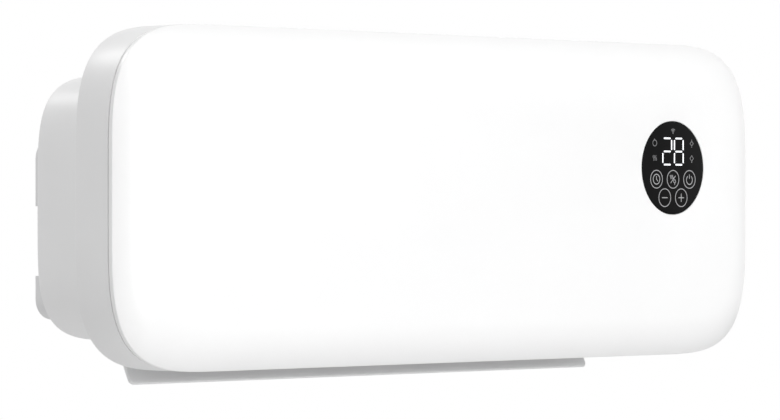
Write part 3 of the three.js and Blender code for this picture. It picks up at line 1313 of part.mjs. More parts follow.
const finish = (color, roughness, metalness = 0) =>
  new THREE.MeshStandardMaterial({ color, roughness, metalness });
const WHITE_GLOSS = finish(0xf7f7f7, 0.28);
const WHITE_SATIN = finish(0xf0f0f0, 0.45);
const GREY_SATIN = finish(0xc2c2c2, 0.5);
const BLACK_GLASS = finish(0x0d0d0f, 0.08);
const STEEL = finish(0xb9bbbd, 0.4, 0.9);
const ALUMINIUM = finish(0xcfd2d4, 0.35, 0.9);
const DARK_PLASTIC = finish(0x2b2c2e, 0.55);
const GREY_PLASTIC = finish(0x8d9094, 0.6);
const BOARD_GREEN = finish(0x2e6b4a, 0.5);
const COPPER = finish(0xb56a3a, 0.4, 0.8);
const RUBBER = finish(0x1d1d1f, 0.8);
const HEATPROOF = finish(0x1b1b1c, 0.6);
const BLUE_PLASTIC = finish(0x2f5fa8, 0.5);
const YELLOW_PLASTIC = finish(0xd8b32c, 0.5);

// ---- Assembly ---------------------------------------------------------------

/** Adds a named piece to a group. */
function place(group, name, geometry, material, x = 0, y = 0, z = 0) {
  const mesh = new THREE.Mesh(geometry, material);
  mesh.name = name;
  mesh.position.set(x, y, z);
  group.add(mesh);
  return mesh;
}

/** A group at a place of its own inside another. */
function groupIn(parent, x = 0, y = 0, z = 0) {
  const group = new THREE.Group();
  group.position.set(x, y, z);
  parent.add(group);
  return group;
}

const heater = new THREE.Group();

const casing = groupIn(heater);
place(casing, "wall_bracket", wallBracket(), STEEL);
place(casing, "rear_housing", rearHousing(), WHITE_SATIN);
place(casing, "mid_casing", midCasing(), WHITE_SATIN);
place(casing, "front_panel", frontPanel(), WHITE_GLOSS);
place(casing, "inlet_grille", inletGrille(), WHITE_SATIN);
const middleOfDuct = -(DUCT_FRONT + DUCT_BACK) / 2;
place(casing, "outlet_guard", outletGuard(), GREY_SATIN, 0, middleOfDuct, DUCT_FOOT + SEAT_GAP);
screwPlaces().forEach(([x, z], index) => {
  const seat = HOUSING_FRONT_OUT - HOUSING_WALL - SEAT_GAP;
  place(casing, `housing_screw_${index + 1}`, housingScrew(), STEEL, x, -seat, z);
});

const display = groupIn(heater, DISPLAY_RIGHT, 0, DISPLAY_UP);
place(display, "display_lens", displayLens(), BLACK_GLASS);
const boardFront = PANEL_INSIDE_OUT - BOARD_BEHIND_LENS;
place(display, "touch_board", touchBoard(), BOARD_GREEN, 0, -(boardFront - BOARD_THICKNESS), 0);
const lensBack = PANEL_FRONT_OUT - LENS_THICKNESS - SEAT_GAP;
const springDepth = lensBack - boardFront - SEAT_GAP;
place(display, "digit_module", digitModule(springDepth), DARK_PLASTIC,
  0, -boardFront - SEAT_GAP, DIGIT_BLOCK_RISE);
keyPlaces().forEach(([x, z], index) => {
  const name = `touch_spring_${index + 1}`;
  place(display, name, touchSpring(springDepth), STEEL, x, -boardFront - SEAT_GAP, z);
});

const airPath = groupIn(heater);
place(airPath, "scroll_rear", scrollRear(), GREY_PLASTIC);
place(airPath, "scroll_front", scrollFront(), GREY_PLASTIC);
const endMiddle = DUCT_END_AT + DUCT_END_WALL / 2;
const bearingHole = BEARING_RADIUS - BEARING_NECK + SEAT_GAP;
place(airPath, "duct_end_left", ductEnd(bearingHole), GREY_PLASTIC, -endMiddle);
place(airPath, "duct_end_right", ductEnd(SHAFT_HOLE), GREY_PLASTIC, endMiddle);

const fan = groupIn(heater, 0, -FAN_OUT, FAN_HEIGHT);
place(fan, "fan_wheel", fanWheel(), GREY_PLASTIC);
place(fan, "motor_rotor", motorRotor(), STEEL);
place(fan, "fan_end_pin", fanEndPin(), STEEL);
place(fan, "fan_bearing", fanBearing(), RUBBER, -endMiddle);

const motor = groupIn(fan);
place(motor, "motor_core", motorCore(), STEEL, MOTOR_MIDDLE);
const legMiddle = MOTOR_CORE_BOTTOM + MOTOR_LEG / 2;
place(motor, "motor_coil", motorCoil(), COPPER, MOTOR_MIDDLE, 0, legMiddle);
const bridgeAt = MOTOR_STACK / 2 + SEAT_GAP + MOTOR_BRIDGE / 2;
place(motor, "motor_bridge_inner", motorBridge(-1), ALUMINIUM, MOTOR_MIDDLE - bridgeAt);
place(motor, "motor_bridge_outer", motorBridge(1), ALUMINIUM, MOTOR_MIDDLE + bridgeAt);
[-1, 1].forEach((side, index) => {
  place(motor, `motor_screw_${index + 1}`, motorScrew(), STEEL,
    0, (side * MOTOR_SCREW_SPACING) / 2, MOTOR_SCREW_RISE);
});

const heating = groupIn(heater, 0, middleOfDuct, HEATER_MIDDLE);
heaterTubePlaces().forEach((y, index) => {
  place(heating, `heater_tube_${index + 1}`, heaterTube(), ALUMINIUM, 0, y, 0);
});
[-1, 0, 1].forEach((lane, index) => {
  const y = lane * (FIN_DEPTH + HEATER_TUBE + SEAT_GAP * 2);
  place(heating, `heater_fins_${index + 1}`, heaterFins(), ALUMINIUM, 0, y, 0);
});
[-1, 1].forEach((side) => {
  const x = side * (DUCT_LENGTH / 2 - HEATER_END_LENGTH / 2);
  const name = side < 0 ? "heater_end_left" : "heater_end_right";
  place(heating, name, heaterEnd(side), HEATPROOF, x);
});
place(heating, "thermal_cutout", thermalCutout(), DARK_PLASTIC,
  -DUCT_END_OUTSIDE - SEAT_GAP, 0, HEATER_HEIGHT);

const flapPivot = groupIn(heater, 0, -FLAP_PIVOT_OUT, FLAP_PIVOT_HEIGHT);
const flap = place(flapPivot, "outlet_flap", outletFlap(), GREY_SATIN);
flap.rotation.x = radians(FLAP_OPEN_ANGLE);
const flapMotorAt = OUTLET_LENGTH / 2 + FLAP_ARM_THICKNESS + SEAT_GAP + FLAP_MOTOR_LENGTH / 2;
place(flapPivot, "flap_motor", flapMotor(), STEEL, -flapMotorAt);

const electronics = groupIn(heater);
place(electronics, "power_board", powerBoard(), BOARD_GREEN);
boardScrewPlaces().forEach(([x, z], index) => {
  place(electronics, `board_screw_${index + 1}`, boardScrew(), STEEL, x, -COMPONENTS_OUT, z);
});
RELAY_RISES.forEach((rise, index) => {
  place(electronics, `relay_${index + 1}`, componentBlock(RELAY_SIZE), BLUE_PLASTIC,
    POWER_BOARD_RIGHT + RELAYS_RIGHT, -COMPONENTS_OUT, POWER_BOARD_UP + rise);
});
place(electronics, "filter_capacitor", componentBlock(CAPACITOR_SIZE), YELLOW_PLASTIC,
  POWER_BOARD_RIGHT + CAPACITOR_RIGHT, -COMPONENTS_OUT, POWER_BOARD_UP + CAPACITOR_RISE);
const terminalOut = HOUSING_BACK_OUT + HOUSING_WALL + SEAT_GAP + TERMINAL_SIZE[1] / 2;
place(electronics, "terminal_block", terminalBlock(), GREY_PLASTIC,
  GLAND_RIGHT - TERMINAL_LEFT_OF_GLAND, -terminalOut, TERMINAL_UP);
place(electronics, "cord_gland", cordGland(), RUBBER,
  GLAND_RIGHT, -HOUSING_BACK_OUT, GLAND_UP);

const mainSwitch = groupIn(heater, HOUSING_SIDE + SEAT_GAP, -SWITCH_OUT, SWITCH_UP);
place(mainSwitch, "switch_frame", switchFrame(), DARK_PLASTIC);
const rocker = place(mainSwitch, "switch_rocker", switchRocker(), DARK_PLASTIC,
  SWITCH_FLANGE - ROCKER_PIVOT_DEPTH);
rocker.rotation.z = radians(-SWITCH_TILT);

export default heater;
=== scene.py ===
"""Looks of a bathroom wall fan heater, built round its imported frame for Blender 4.5.

Metres, with the wall on the plane y = 0 and the heater standing out of it towards -Y. "Out" is a
distance from the wall, +X is to the right of somebody who faces the heater, and z = 0 is the middle
height of the front panel.
"""

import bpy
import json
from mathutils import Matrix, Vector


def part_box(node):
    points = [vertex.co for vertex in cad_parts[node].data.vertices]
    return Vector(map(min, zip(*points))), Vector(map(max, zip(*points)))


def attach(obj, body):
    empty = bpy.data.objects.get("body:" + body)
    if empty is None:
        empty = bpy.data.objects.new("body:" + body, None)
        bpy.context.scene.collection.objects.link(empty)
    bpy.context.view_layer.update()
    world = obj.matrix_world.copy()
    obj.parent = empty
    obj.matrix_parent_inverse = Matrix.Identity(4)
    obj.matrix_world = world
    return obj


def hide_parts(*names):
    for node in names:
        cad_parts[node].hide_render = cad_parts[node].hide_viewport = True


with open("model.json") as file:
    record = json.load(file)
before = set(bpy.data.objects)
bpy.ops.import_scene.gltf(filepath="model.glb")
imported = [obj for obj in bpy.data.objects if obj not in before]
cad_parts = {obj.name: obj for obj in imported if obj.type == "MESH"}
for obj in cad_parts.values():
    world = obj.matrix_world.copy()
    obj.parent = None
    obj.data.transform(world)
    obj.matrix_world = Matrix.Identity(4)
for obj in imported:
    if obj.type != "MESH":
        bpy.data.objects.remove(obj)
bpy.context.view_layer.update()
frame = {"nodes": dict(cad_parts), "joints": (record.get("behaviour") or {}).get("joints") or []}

import json
import logging
from collections.abc import Iterable, Sequence
from dataclasses import dataclass, field
from enum import Enum
from math import asin, cos, pi, radians, sin, sqrt, tan

import bmesh
import bpy
from bmesh.types import BMEdge, BMesh, BMFace, BMVert
from mathutils import Matrix, Vector

log = logging.getLogger("heater")

MM = 0.001
MERGE = 0.001 * MM  # corners that lie closer together than this are one corner
REFRACTION = 1.5  # of plastic and of glass
WAVE_REPEAT = pi / 10  # length after which a wave texture repeats at a scale of 1
PHOTO_WIDTH = 780
PHOTO_HEIGHT = 420

Station = tuple[float, float]
Point = tuple[float, float, float]
Colour = tuple[float, float, float]


# ---- Names ------------------------------------------------------------------------------------


class Body(Enum):
    """The frame's bodies that the pieces here ride on."""

    ROOT = "root"
    FAN = "fan"
    FLAP = "flap"
    ROCKER = "rocker"


class Slot(Enum):
    """The record's material slots that the pieces here take their finish from."""

    PANEL = "panel_white"
    CASING = "casing_white"
    FLAP = "flap_grey"
    GLASS = "glass_black"
    ZINC = "zinc_steel"
    POWDER = "powder_steel"
    ALUMINIUM = "aluminium"
    DARK = "dark_plastic"
    GREY = "grey_plastic"
    RUBBER = "rubber"


class Axis(Enum):
    """Directions that a turned shape's length can run in."""

    RIGHT = (1.0, 0.0, 0.0)
    LEFT = (-1.0, 0.0, 0.0)
    OUT = (0.0, -1.0, 0.0)

    def place(self, x: float, y: float, z: float) -> Matrix:
        """A frame at a point whose own +Z runs along this direction."""
        turn = Vector(self.value).to_track_quat("Z", "Y").to_matrix().to_4x4()
        return Matrix.Translation((x, y, z)) @ turn


def joint_named(name: str) -> dict:
    """The frame's joint of that name."""
    return next(joint for joint in frame["joints"] if joint["name"] == name)


def middle_of(node: str) -> Point:
    """The middle of a CAD node's box at rest."""
    low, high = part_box(node)
    return ((low.x + high.x) / 2, (low.y + high.y) / 2, (low.z + high.z) / 2)


# ---- Finishes ---------------------------------------------------------------------------------


class Shader:
    """A node material that is put together round one Principled shader."""

    ramp_ends = (0.3, 0.7)

    def __init__(self, name: str) -> None:
        """Starts a material with an untouched Principled shader.

        Args:
            name: The material's name.
        """
        self.material = bpy.data.materials.new(name)
        self.material.use_nodes = True
        self.tree = self.material.node_tree
        self.principled = self.tree.nodes["Principled BSDF"]
        self.coordinates = self.tree.nodes.new("ShaderNodeTexCoord")

    def set(self, **values: float | tuple[float, ...]) -> None:
        """Sets sockets of the shader, with underscores for the spaces in their names."""
        for name, value in values.items():
            self.principled.inputs[name.replace("_", " ")].default_value = value

    def node(self, kind: str, **inputs: object) -> bpy.types.Node:
        """Adds a node.

        Args:
            kind: The node's type name without its ShaderNode start.
            inputs: Values of its sockets, or of its own settings where no socket has the name.

        Returns:
            The node.
        """
        made = self.tree.nodes.new("ShaderNode" + kind)
        for name, value in inputs.items():
            socket = made.inputs.get(name.replace("_", " "))
            if socket is None:
                setattr(made, name, value)
            elif isinstance(value, bpy.types.NodeSocket):
                self.tree.links.new(value, socket)
            else:
                socket.default_value = value
        return made

    def noise(self, size: float, detail: float, stretch: Point = (1, 1, 1)) -> bpy.types.NodeSocket:
        """Noise over the piece's own coordinates.

        Args:
            size: The width of one speck, in metres.
            detail: How many finer layers the noise has.
            stretch: How much each axis is squeezed before the noise is read.

        Returns:
            The noise's value, from 0 to 1.
        """
        mapping = self.node("Mapping", Vector=self.coordinates.outputs["Object"], Scale=stretch)
        made = self.node("TexNoise", Scale=1 / size, Detail=detail, Vector=mapping.outputs["Vector"])
        return made.outputs["Fac"]

    def paint(self, value: bpy.types.NodeSocket, dark: Sequence[float], light: Sequence[float]) -> None:
        """Colours the surface between two shades.

        Args:
            value: Where the surface is dark, at 0, and where it is light, at 1.
            dark: The darker shade.
            light: The lighter one.
        """
        ramp = self.node("ValToRGB", Fac=value)
        for stop, shade, place in zip(ramp.color_ramp.elements, (dark, light), self.ramp_ends):
            stop.color = (*shade, 1)
            stop.position = place
        self.tree.links.new(ramp.outputs["Color"], self.principled.inputs["Base Color"])

    def roughen(self, value: bpy.types.NodeSocket, low: float, high: float) -> None:
        """Lets the roughness run between two values."""
        spread = self.node("MapRange", To_Min=low, To_Max=high, Value=value)
        self.tree.links.new(spread.outputs["Result"], self.principled.inputs["Roughness"])

    def emboss(self, value: bpy.types.NodeSocket, depth: float) -> None:
        """Raises the surface by a value, to a depth in metres."""
        bump = self.node("Bump", Strength=1.0, Distance=depth, Height=value)
        self.tree.links.new(bump.outputs["Normal"], self.principled.inputs["Normal"])


def tint(colour: Colour, factor: float) -> tuple[float, ...]:
    """The colour made lighter or darker by a factor."""
    return tuple(min(part * factor, 1.0) for part in colour)


@dataclass(frozen=True)
class Finish:
    """What every finish has: a name, and its own way to dress a shader."""

    name: str

    def dress(self, shader: Shader) -> None:
        """Gives a fresh shader this finish's colours, sheen and grain."""
        raise NotImplementedError

    def material(self) -> bpy.types.Material:
        """Builds the finish.

        Returns:
            The material.
        """
        shader = Shader(self.name)
        self.dress(shader)
        return shader.material


@dataclass(frozen=True)
class Moulded(Finish):
    """Injection-moulded plastic: an even colour with a faint mottle and a fine spark-eroded grain."""

    colour: Colour
    roughness: float = 0.35
    roughness_spread: float = 0.04
    grain: float = 0.5 * MM
    grain_depth: float = 0.006 * MM
    mottle: float = 0.012
    flow: float = 60 * MM

    def dress(self, shader: Shader) -> None:
        """Lays the plastic's mottle and grain.

        Args:
            shader: The shader that is dressed.
        """
        cloud = shader.noise(self.flow, detail=2.0)
        shader.paint(cloud, tint(self.colour, 1 - self.mottle), tint(self.colour, 1 + self.mottle))
        grain = shader.noise(self.grain, detail=4.0)
        shader.roughen(grain, self.roughness - self.roughness_spread, self.roughness + self.roughness_spread)
        shader.emboss(grain, self.grain_depth)
        shader.set(IOR=REFRACTION)


@dataclass(frozen=True)
class Glazed(Finish):
    """Black glass with an anti-glare coat, dark to its back, with a faint polish haze."""

    colour: Colour = (0.0058, 0.0058, 0.0060)
    shades: tuple[float, float] = (0.9, 1.1)
    roughness: tuple[float, float] = (0.085, 0.12)
    mirror: float = 0.05
    haze: float = 9 * MM
    haze_depth: float = 0.002 * MM

    def dress(self, shader: Shader) -> None:
        """Lays the glass's haze.

        Args:
            shader: The shader that is dressed.
        """
        haze = shader.noise(self.haze, detail=2.0)
        shader.paint(haze, *[tint(self.colour, shade) for shade in self.shades])
        shader.roughen(haze, *self.roughness)
        shader.emboss(haze, self.haze_depth)
        shader.set(IOR=REFRACTION, Specular_IOR_Level=self.mirror)


@dataclass(frozen=True)
class Printed(Finish):
    """Screen-printed ink under the glass, whose dots show close up."""

    colour: Colour
    shades: tuple[float, float] = (0.9, 1.1)
    roughness: tuple[float, float] = (0.2, 0.3)
    dot: float = 0.12 * MM

    def dress(self, shader: Shader) -> None:
        """Lays the ink's dots.

        Args:
            shader: The shader that is dressed.
        """
        dots = shader.noise(self.dot, detail=1.0)
        shader.paint(dots, *[tint(self.colour, shade) for shade in self.shades])
        shader.roughen(dots, *self.roughness)


@dataclass(frozen=True)
class Glowing(Finish):
    """A lit segment of the display, with a faint unevenness of its light guide."""

    colour: Colour
    strength: float
    darkest: float = 0.92
    roughness: tuple[float, float] = (0.25, 0.35)
    speck: float = 1.2 * MM

    def dress(self, shader: Shader) -> None:
        """Lays the segment's specks and lights it.

        Args:
            shader: The shader that is dressed.
        """
        speck = shader.noise(self.speck, detail=1.0)
        shader.paint(speck, tint(self.colour, self.darkest), self.colour)
        shader.roughen(speck, *self.roughness)
        shader.set(Emission_Color=(*self.colour, 1), Emission_Strength=self.strength)


@dataclass(frozen=True)
class Metal(Finish):
    """Bare or plated metal with drawn or rolled marks along one axis."""

    colour: Colour
    roughness: float = 0.35
    roughness_spread: float = 0.07
    shades: tuple[float, float] = (0.9, 1.06)
    mark: float = 0.4 * MM
    mark_detail: float = 3.0
    stretch: Point = (0.05, 1.0, 1.0)
    depth: float = 0.004 * MM

    def dress(self, shader: Shader) -> None:
        """Lays the metal's marks.

        Args:
            shader: The shader that is dressed.
        """
        marks = shader.noise(self.mark, self.mark_detail, self.stretch)
        shader.paint(marks, *[tint(self.colour, shade) for shade in self.shades])
        shader.roughen(marks, self.roughness - self.roughness_spread, self.roughness + self.roughness_spread)
        shader.emboss(marks, self.depth)
        shader.set(Metallic=1.0)


@dataclass(frozen=True)
class PowderCoated(Finish):
    """Steel sheet under a powder coat with its orange peel."""

    colour: Colour
    shades: tuple[float, float] = (0.97, 1.02)
    roughness: tuple[float, float] = (0.36, 0.48)
    cloud: float = 45 * MM
    peel: float = 1.6 * MM
    peel_depth: float = 0.02 * MM

    def dress(self, shader: Shader) -> None:
        """Lays the coat's peel over a faint cloud.

        Args:
            shader: The shader that is dressed.
        """
        peel = shader.noise(self.peel, detail=2.0)
        cloud = shader.noise(self.cloud, detail=2.0)
        shader.paint(cloud, *[tint(self.colour, shade) for shade in self.shades])
        shader.roughen(peel, *self.roughness)
        shader.emboss(peel, self.peel_depth)


@dataclass(frozen=True)
class Banded(Finish):
    """A pack of thin layers or turns, as bands along one axis."""

    dark: Colour
    light: Colour
    pitch: float
    axis: str = "X"
    roughness: tuple[float, float] = (0.32, 0.5)
    wobble: float = 0.4
    wobble_detail: float = 4.0
    depth_share: float = 0.3

    def dress(self, shader: Shader) -> None:
        """Lays the bands, one for each layer or turn.

        Args:
            shader: The shader that is dressed.
        """
        bands = shader.node(
            "TexWave",
            wave_type="BANDS",
            bands_direction=self.axis,
            Vector=shader.coordinates.outputs["Object"],
            Scale=WAVE_REPEAT / self.pitch,
            Distortion=self.wobble,
            Detail_Scale=self.wobble_detail,
        ).outputs["Fac"]
        shader.paint(bands, self.dark, self.light)
        shader.roughen(bands, *self.roughness)
        shader.emboss(bands, self.pitch * self.depth_share)
        shader.set(Metallic=1.0)


@dataclass(frozen=True)
class CircuitBoard(Finish):
    """Glass-fibre board under solder mask, with copper tracks that show through it."""

    mask: Colour = (0.012, 0.10, 0.045)
    track: Colour = (0.03, 0.19, 0.08)
    roughness: tuple[float, float] = (0.25, 0.4)
    pitch: float = 3.2 * MM
    track_height: float = 0.03 * MM
    unevenness: float = 0.35

    def dress(self, shader: Shader) -> None:
        """Lays the tracks under the mask.

        Args:
            shader: The shader that is dressed.
        """
        cells = shader.node(
            "TexVoronoi",
            distance="MANHATTAN",
            feature="F1",
            Vector=shader.coordinates.outputs["Object"],
            Scale=1 / self.pitch,
            Randomness=self.unevenness,
        ).outputs["Distance"]
        shader.paint(cells, self.track, self.mask)
        shader.roughen(cells, *self.roughness)
        shader.emboss(cells, self.track_height)


PANEL_PLASTIC = Moulded("panel_plastic", (0.905, 0.905, 0.905), 0.3, grain_depth=0.003 * MM, mottle=0.003)
CASING_PLASTIC = Moulded("casing_plastic", (0.86, 0.86, 0.862), 0.42)
# The band is the rear housing's white plastic made a little darker: painted shade for the shade the band
# shows beside the panel, not a colour of its own.
BAND_PLASTIC_PAINTED_SHADE = Moulded("band_plastic_painted_shade", (0.835, 0.835, 0.837), 0.42)
FLAP_PLASTIC = Moulded("flap_plastic", (0.81, 0.81, 0.814), 0.45)
GREY_PLASTIC = Moulded("duct_plastic", (0.30, 0.31, 0.32), 0.5)
DARK_PLASTIC = Moulded("switch_plastic", (0.022, 0.022, 0.024), 0.42)
WHEEL_PLASTIC = Moulded("wheel_plastic", (0.22, 0.225, 0.235), 0.48)
BLUE_PLASTIC = Moulded("relay_plastic", (0.02, 0.09, 0.33), 0.35)
YELLOW_PLASTIC = Moulded("capacitor_plastic", (0.72, 0.42, 0.03), 0.4)
HEATPROOF = Moulded("heatproof_block", (0.03, 0.029, 0.028), 0.62, grain=0.8 * MM, mottle=0.1)
RUBBER = Moulded("rubber", (0.017, 0.017, 0.018), 0.72, grain=0.35 * MM, mottle=0.08)
DISPLAY_GLASS = Glazed("display_glass")
KEY_INK = Printed("key_ink", (0.42, 0.42, 0.43))
SIGN_INK = Printed("sign_ink", (0.20, 0.20, 0.205))
SEGMENT_LIGHT = Glowing("segment_light", (0.9, 0.92, 0.94), 0.62)
ZINC = Metal("zinc_plate", (0.62, 0.63, 0.64), 0.38, stretch=(1.0, 1.0, 0.4))
ALUMINIUM = Metal("rolled_aluminium", (0.80, 0.81, 0.82), 0.33)
BRACKET_COAT = PowderCoated("bracket_coat", (0.76, 0.76, 0.765))
LAMINATIONS = Banded("motor_laminations", (0.16, 0.16, 0.17), (0.42, 0.42, 0.43), 0.5 * MM)
WINDING = Banded("copper_winding", (0.35, 0.10, 0.03), (0.83, 0.36, 0.16), 0.45 * MM, axis="Y")
BOARD = CircuitBoard("board_mask")


class Paintbox:
    """Keeps one material for each finish, made when it is first asked for."""

    def __init__(self) -> None:
        """Starts empty."""
        self.made: dict[str, bpy.types.Material] = {}

    def __call__(self, finish: Finish) -> bpy.types.Material:
        """Looks the finish's material up.

        Args:
            finish: The finish.

        Returns:
            Its material.
        """
        if finish.name not in self.made:
            self.made[finish.name] = finish.material()
        return self.made[finish.name]


PAINT = Paintbox()


# ---- Modelling --------------------------------------------------------------------------------


def sweep(start: float, end: float, steps: int) -> list[float]:
    """Angles from one to another, given in degrees and returned in radians."""
    return [radians(start + (end - start) * step / steps) for step in range(steps + 1)]


def full_turn(steps: int) -> list[float]:
    """Angles all round, without the first one again at the end."""
    return [2 * pi * step / steps for step in range(steps)]


def circle(x: float, z: float, radius: float, angles: Sequence[float]) -> list[Station]:
    """Points on a circle at the given angles."""
    return [(x + radius * cos(angle), z + radius * sin(angle)) for angle in angles]


def moved(points: Iterable[Station], x: float, z: float) -> list[Station]:
    """The points of a flat figure, moved to the right and up."""
    return [(x + across, z + up) for across, up in points]


def facing_out(points: Iterable[Station], out: float) -> list[Point]:
    """The points of a flat figure, stood up at a distance from the wall."""
    return [(x, -out, z) for x, z in points]


def slot_points(
    x: float, z: float, width: float, height: float, corner: float, steps: int
) -> list[Station]:
    """Points round a rectangle with round corners.

    Args:
        x: Its middle, to the right.
        z: Its middle, upwards.
        width: How wide it is.
        height: How high it is.
        corner: The radius of its corners.
        steps: How many stretches each corner has.

    Returns:
        Its points, in order.
    """
    found = []
    for sign_x, sign_z, start in ((1, 1, 0), (-1, 1, 90), (-1, -1, 180), (1, -1, 270)):
        core_x = x + sign_x * (width / 2 - corner)
        core_z = z + sign_z * (height / 2 - corner)
        found += circle(core_x, core_z, corner, sweep(start, start + 90, steps))
    return found


def rounding(
    radius: float, inset: float, out: float, start: float, end: float, steps: int
) -> list[Station]:
    """Stations round a quarter of a circle, or round any other stretch of it.

    Args:
        radius: The circle's radius, below 0 where it bulges away from the outline's middle.
        inset: Its middle's inset from the outline.
        out: Its middle's distance from the wall.
        start: The angle of the first station in degrees, from 0 inwards to 90 away from the wall.
        end: The angle of the last one.
        steps: How many stretches lie between them.

    Returns:
        Pairs of an inset and a distance from the wall.
    """
    return circle(inset, out, radius, sweep(start, end, steps))


class Modeller:
    """One piece's mesh while bmesh operators put it together."""

    flatness = 4  # digits of a millimetre that count when loops are compared

    def __init__(self) -> None:
        """Starts an empty mesh."""
        self.bm: BMesh = bmesh.new()

    def ring(self, points: Sequence[Sequence[float]]) -> list[BMEdge]:
        """Lays a closed loop of edges through points.

        Args:
            points: The loop's corners in order, in metres.

        Returns:
            The loop's edges, in the same order.
        """
        made = bmesh.ops.create_circle(self.bm, cap_ends=False, radius=1.0, segments=len(points))
        verts = made["verts"]
        for vert, place in zip(verts, points):
            vert.co = place
        return [self.bm.edges.get(pair) for pair in zip(verts, verts[1:] + verts[:1])]

    def skin(self, rings: Sequence[list[BMEdge]]) -> None:
        """Spans faces between each loop and the next; two loops in one flat plane are filled between.

        Args:
            rings: Loops with as many edges each.
        """
        for first, second in zip(rings, rings[1:]):
            depths = {round(vert.co.y / MM, self.flatness) for edge in first + second for vert in edge.verts}
            if len(depths) == 1:
                self.fill(first, second)
            else:
                bmesh.ops.bridge_loops(self.bm, edges=first + second)

    def fill(self, *loops: list[BMEdge]) -> list[BMFace]:
        """Closes a flat outline, leaving the loops inside it open.

        Args:
            loops: The outline and its holes, in any order.

        Returns:
            The new faces.
        """
        edges = [edge for loop in loops for edge in loop]
        made = bmesh.ops.triangle_fill(self.bm, use_beauty=True, use_dissolve=False, edges=edges)
        return [part for part in made["geom"] if isinstance(part, BMFace)]

    def turn(self, profile: Sequence[Station], place: Matrix, steps: int, closed: bool = False) -> None:
        """Spins a profile about an axis.

        Args:
            profile: Pairs of a radius and a height along the axis.
            place: The frame whose +Z is the axis.
            steps: How many segments the full turn has.
            closed: Whether the profile is joined end to end, as for a tube.
        """
        verts = [self.bm.verts.new(place @ Vector((radius, 0.0, height))) for radius, height in profile]
        pairs = list(zip(verts, verts[1:]))
        if closed:
            pairs.append((verts[-1], verts[0]))
        edges = [self.bm.edges.new(pair) for pair in pairs]
        others = set(self.bm.verts) - set(verts)
        bmesh.ops.spin(
            self.bm,
            geom=verts + edges,
            cent=place.translation,
            axis=place.to_3x3() @ Vector((0.0, 0.0, 1.0)),
            angle=2 * pi,
            steps=steps,
            use_merge=True,
        )
        made = [vert for vert in self.bm.verts if vert not in others]
        bmesh.ops.remove_doubles(self.bm, verts=made, dist=MERGE)

    def prism(
        self,
        points: Sequence[Point],
        along: Sequence[float],
        holes: Sequence[Sequence[Point]] = (),
    ) -> list[BMVert]:
        """Extrudes a flat outline.

        Args:
            points: The outline's corners in order, in metres.
            along: How far and in which direction the outline is drawn out.
            holes: The corners of each hole in it.

        Returns:
            The corners of both ends.
        """
        loops = [self.ring(loop) for loop in (points, *holes)]
        base = [vert for loop in loops for edge in loop for vert in edge.verts]
        made = bmesh.ops.extrude_face_region(self.bm, geom=self.fill(*loops))
        drawn = [part for part in made["geom"] if isinstance(part, BMVert)]
        bmesh.ops.translate(self.bm, verts=drawn, vec=along)
        return list(dict.fromkeys(base + drawn))

    def block(self, low: Vector, high: Vector, turned: Matrix | None = None) -> list[BMVert]:
        """Adds a box.

        Args:
            low: The box's lowest corner before its turn.
            high: Its highest corner.
            turned: Its turn about its own middle.

        Returns:
            The box's corners.
        """
        place = Matrix.Translation((low + high) / 2) @ (turned or Matrix.Identity(4))
        made = bmesh.ops.create_cube(self.bm, size=1.0, matrix=place @ Matrix.Diagonal((*(high - low), 1.0)))
        return made["verts"]

    def slice(self, point: Vector, normal: Vector) -> None:
        """Cuts every face that a plane crosses in two along it.

        Args:
            point: A point of the plane.
            normal: The plane's normal.
        """
        bmesh.ops.bisect_plane(
            self.bm,
            geom=[*self.bm.verts, *self.bm.edges, *self.bm.faces],
            dist=MERGE,
            plane_co=point,
            plane_no=normal,
        )

    def soften(self, verts: Iterable[BMVert], width: float, least: float = 60.0) -> None:
        """Rounds the sharp edges among some corners.

        Args:
            verts: The corners whose edges are looked at.
            width: How far the rounding reaches from an edge.
            least: The turn between two faces, in degrees, from which their edge counts as sharp.
        """
        known = set(verts)
        edges = [
            edge
            for edge in self.bm.edges
            if edge.verts[0] in known
            and edge.verts[1] in known
            and len(edge.link_faces) == 2
            and edge.calc_face_angle() > radians(least)
        ]
        bmesh.ops.bevel(
            self.bm,
            geom=edges,
            offset=width,
            offset_type="OFFSET",
            affect="EDGES",
            segments=2,
            profile=0.5,
            material=-1,
            clamp_overlap=True,
        )

    def outward(self) -> None:
        """Turns every face to point out of its solid."""
        bmesh.ops.recalc_face_normals(self.bm, faces=self.bm.faces)

    def mesh(self, name: str, crease: float = 32.0) -> bpy.types.Mesh:
        """Hands the mesh over, smooth but for its creases and the rims of a bare skin.

        Args:
            name: The mesh's name.
            crease: The turn between two faces, in degrees, from which their edge stays sharp.

        Returns:
            The mesh.
        """
        for face in self.bm.faces:
            face.smooth = True
        self.bm.edges.index_update()
        rims = [edge.index for edge in self.bm.edges if edge.is_boundary]
        mesh = bpy.data.meshes.new(name)
        self.bm.to_mesh(mesh)
        self.bm.free()
        mesh.set_sharp_from_angle(angle=radians(crease))
        for index in rims:
            mesh.edges[index].use_edge_sharp = True
        return mesh


@dataclass(frozen=True)
class Piece:
    """What a finished mesh needs to become a piece of the heater."""

    name: str
    finish: Finish
    slot: Slot
    body: Body = Body.ROOT
    stands_for: tuple[str, ...] = ()

    def add(self, mesh: bpy.types.Mesh, wall: float = 0.0) -> None:
        """Puts the mesh in the scene, painted, riding on its body.

        Args:
            mesh: The piece's mesh, in its place.
            wall: The thickness of its wall where the mesh is a bare outer skin.
        """
        made = bpy.data.objects.new(self.name, mesh)
        bpy.context.scene.collection.objects.link(made)
        mesh.materials.append(PAINT(self.finish))
        if wall:
            thickness = made.modifiers.new("wall", "SOLIDIFY")
            thickness.thickness = wall
            thickness.offset = -1.0
            thickness.use_even_offset = True
        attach(made, self.body.value)
        if self.stands_for:
            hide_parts(*self.stands_for)
        log.info("%s: %d faces", self.name, len(mesh.polygons))

    def close(self, model: Modeller, wall: float = 0.0) -> None:
        """Turns a modelled piece's faces outwards and puts it in the scene."""
        model.outward()
        self.add(model.mesh(self.name), wall)


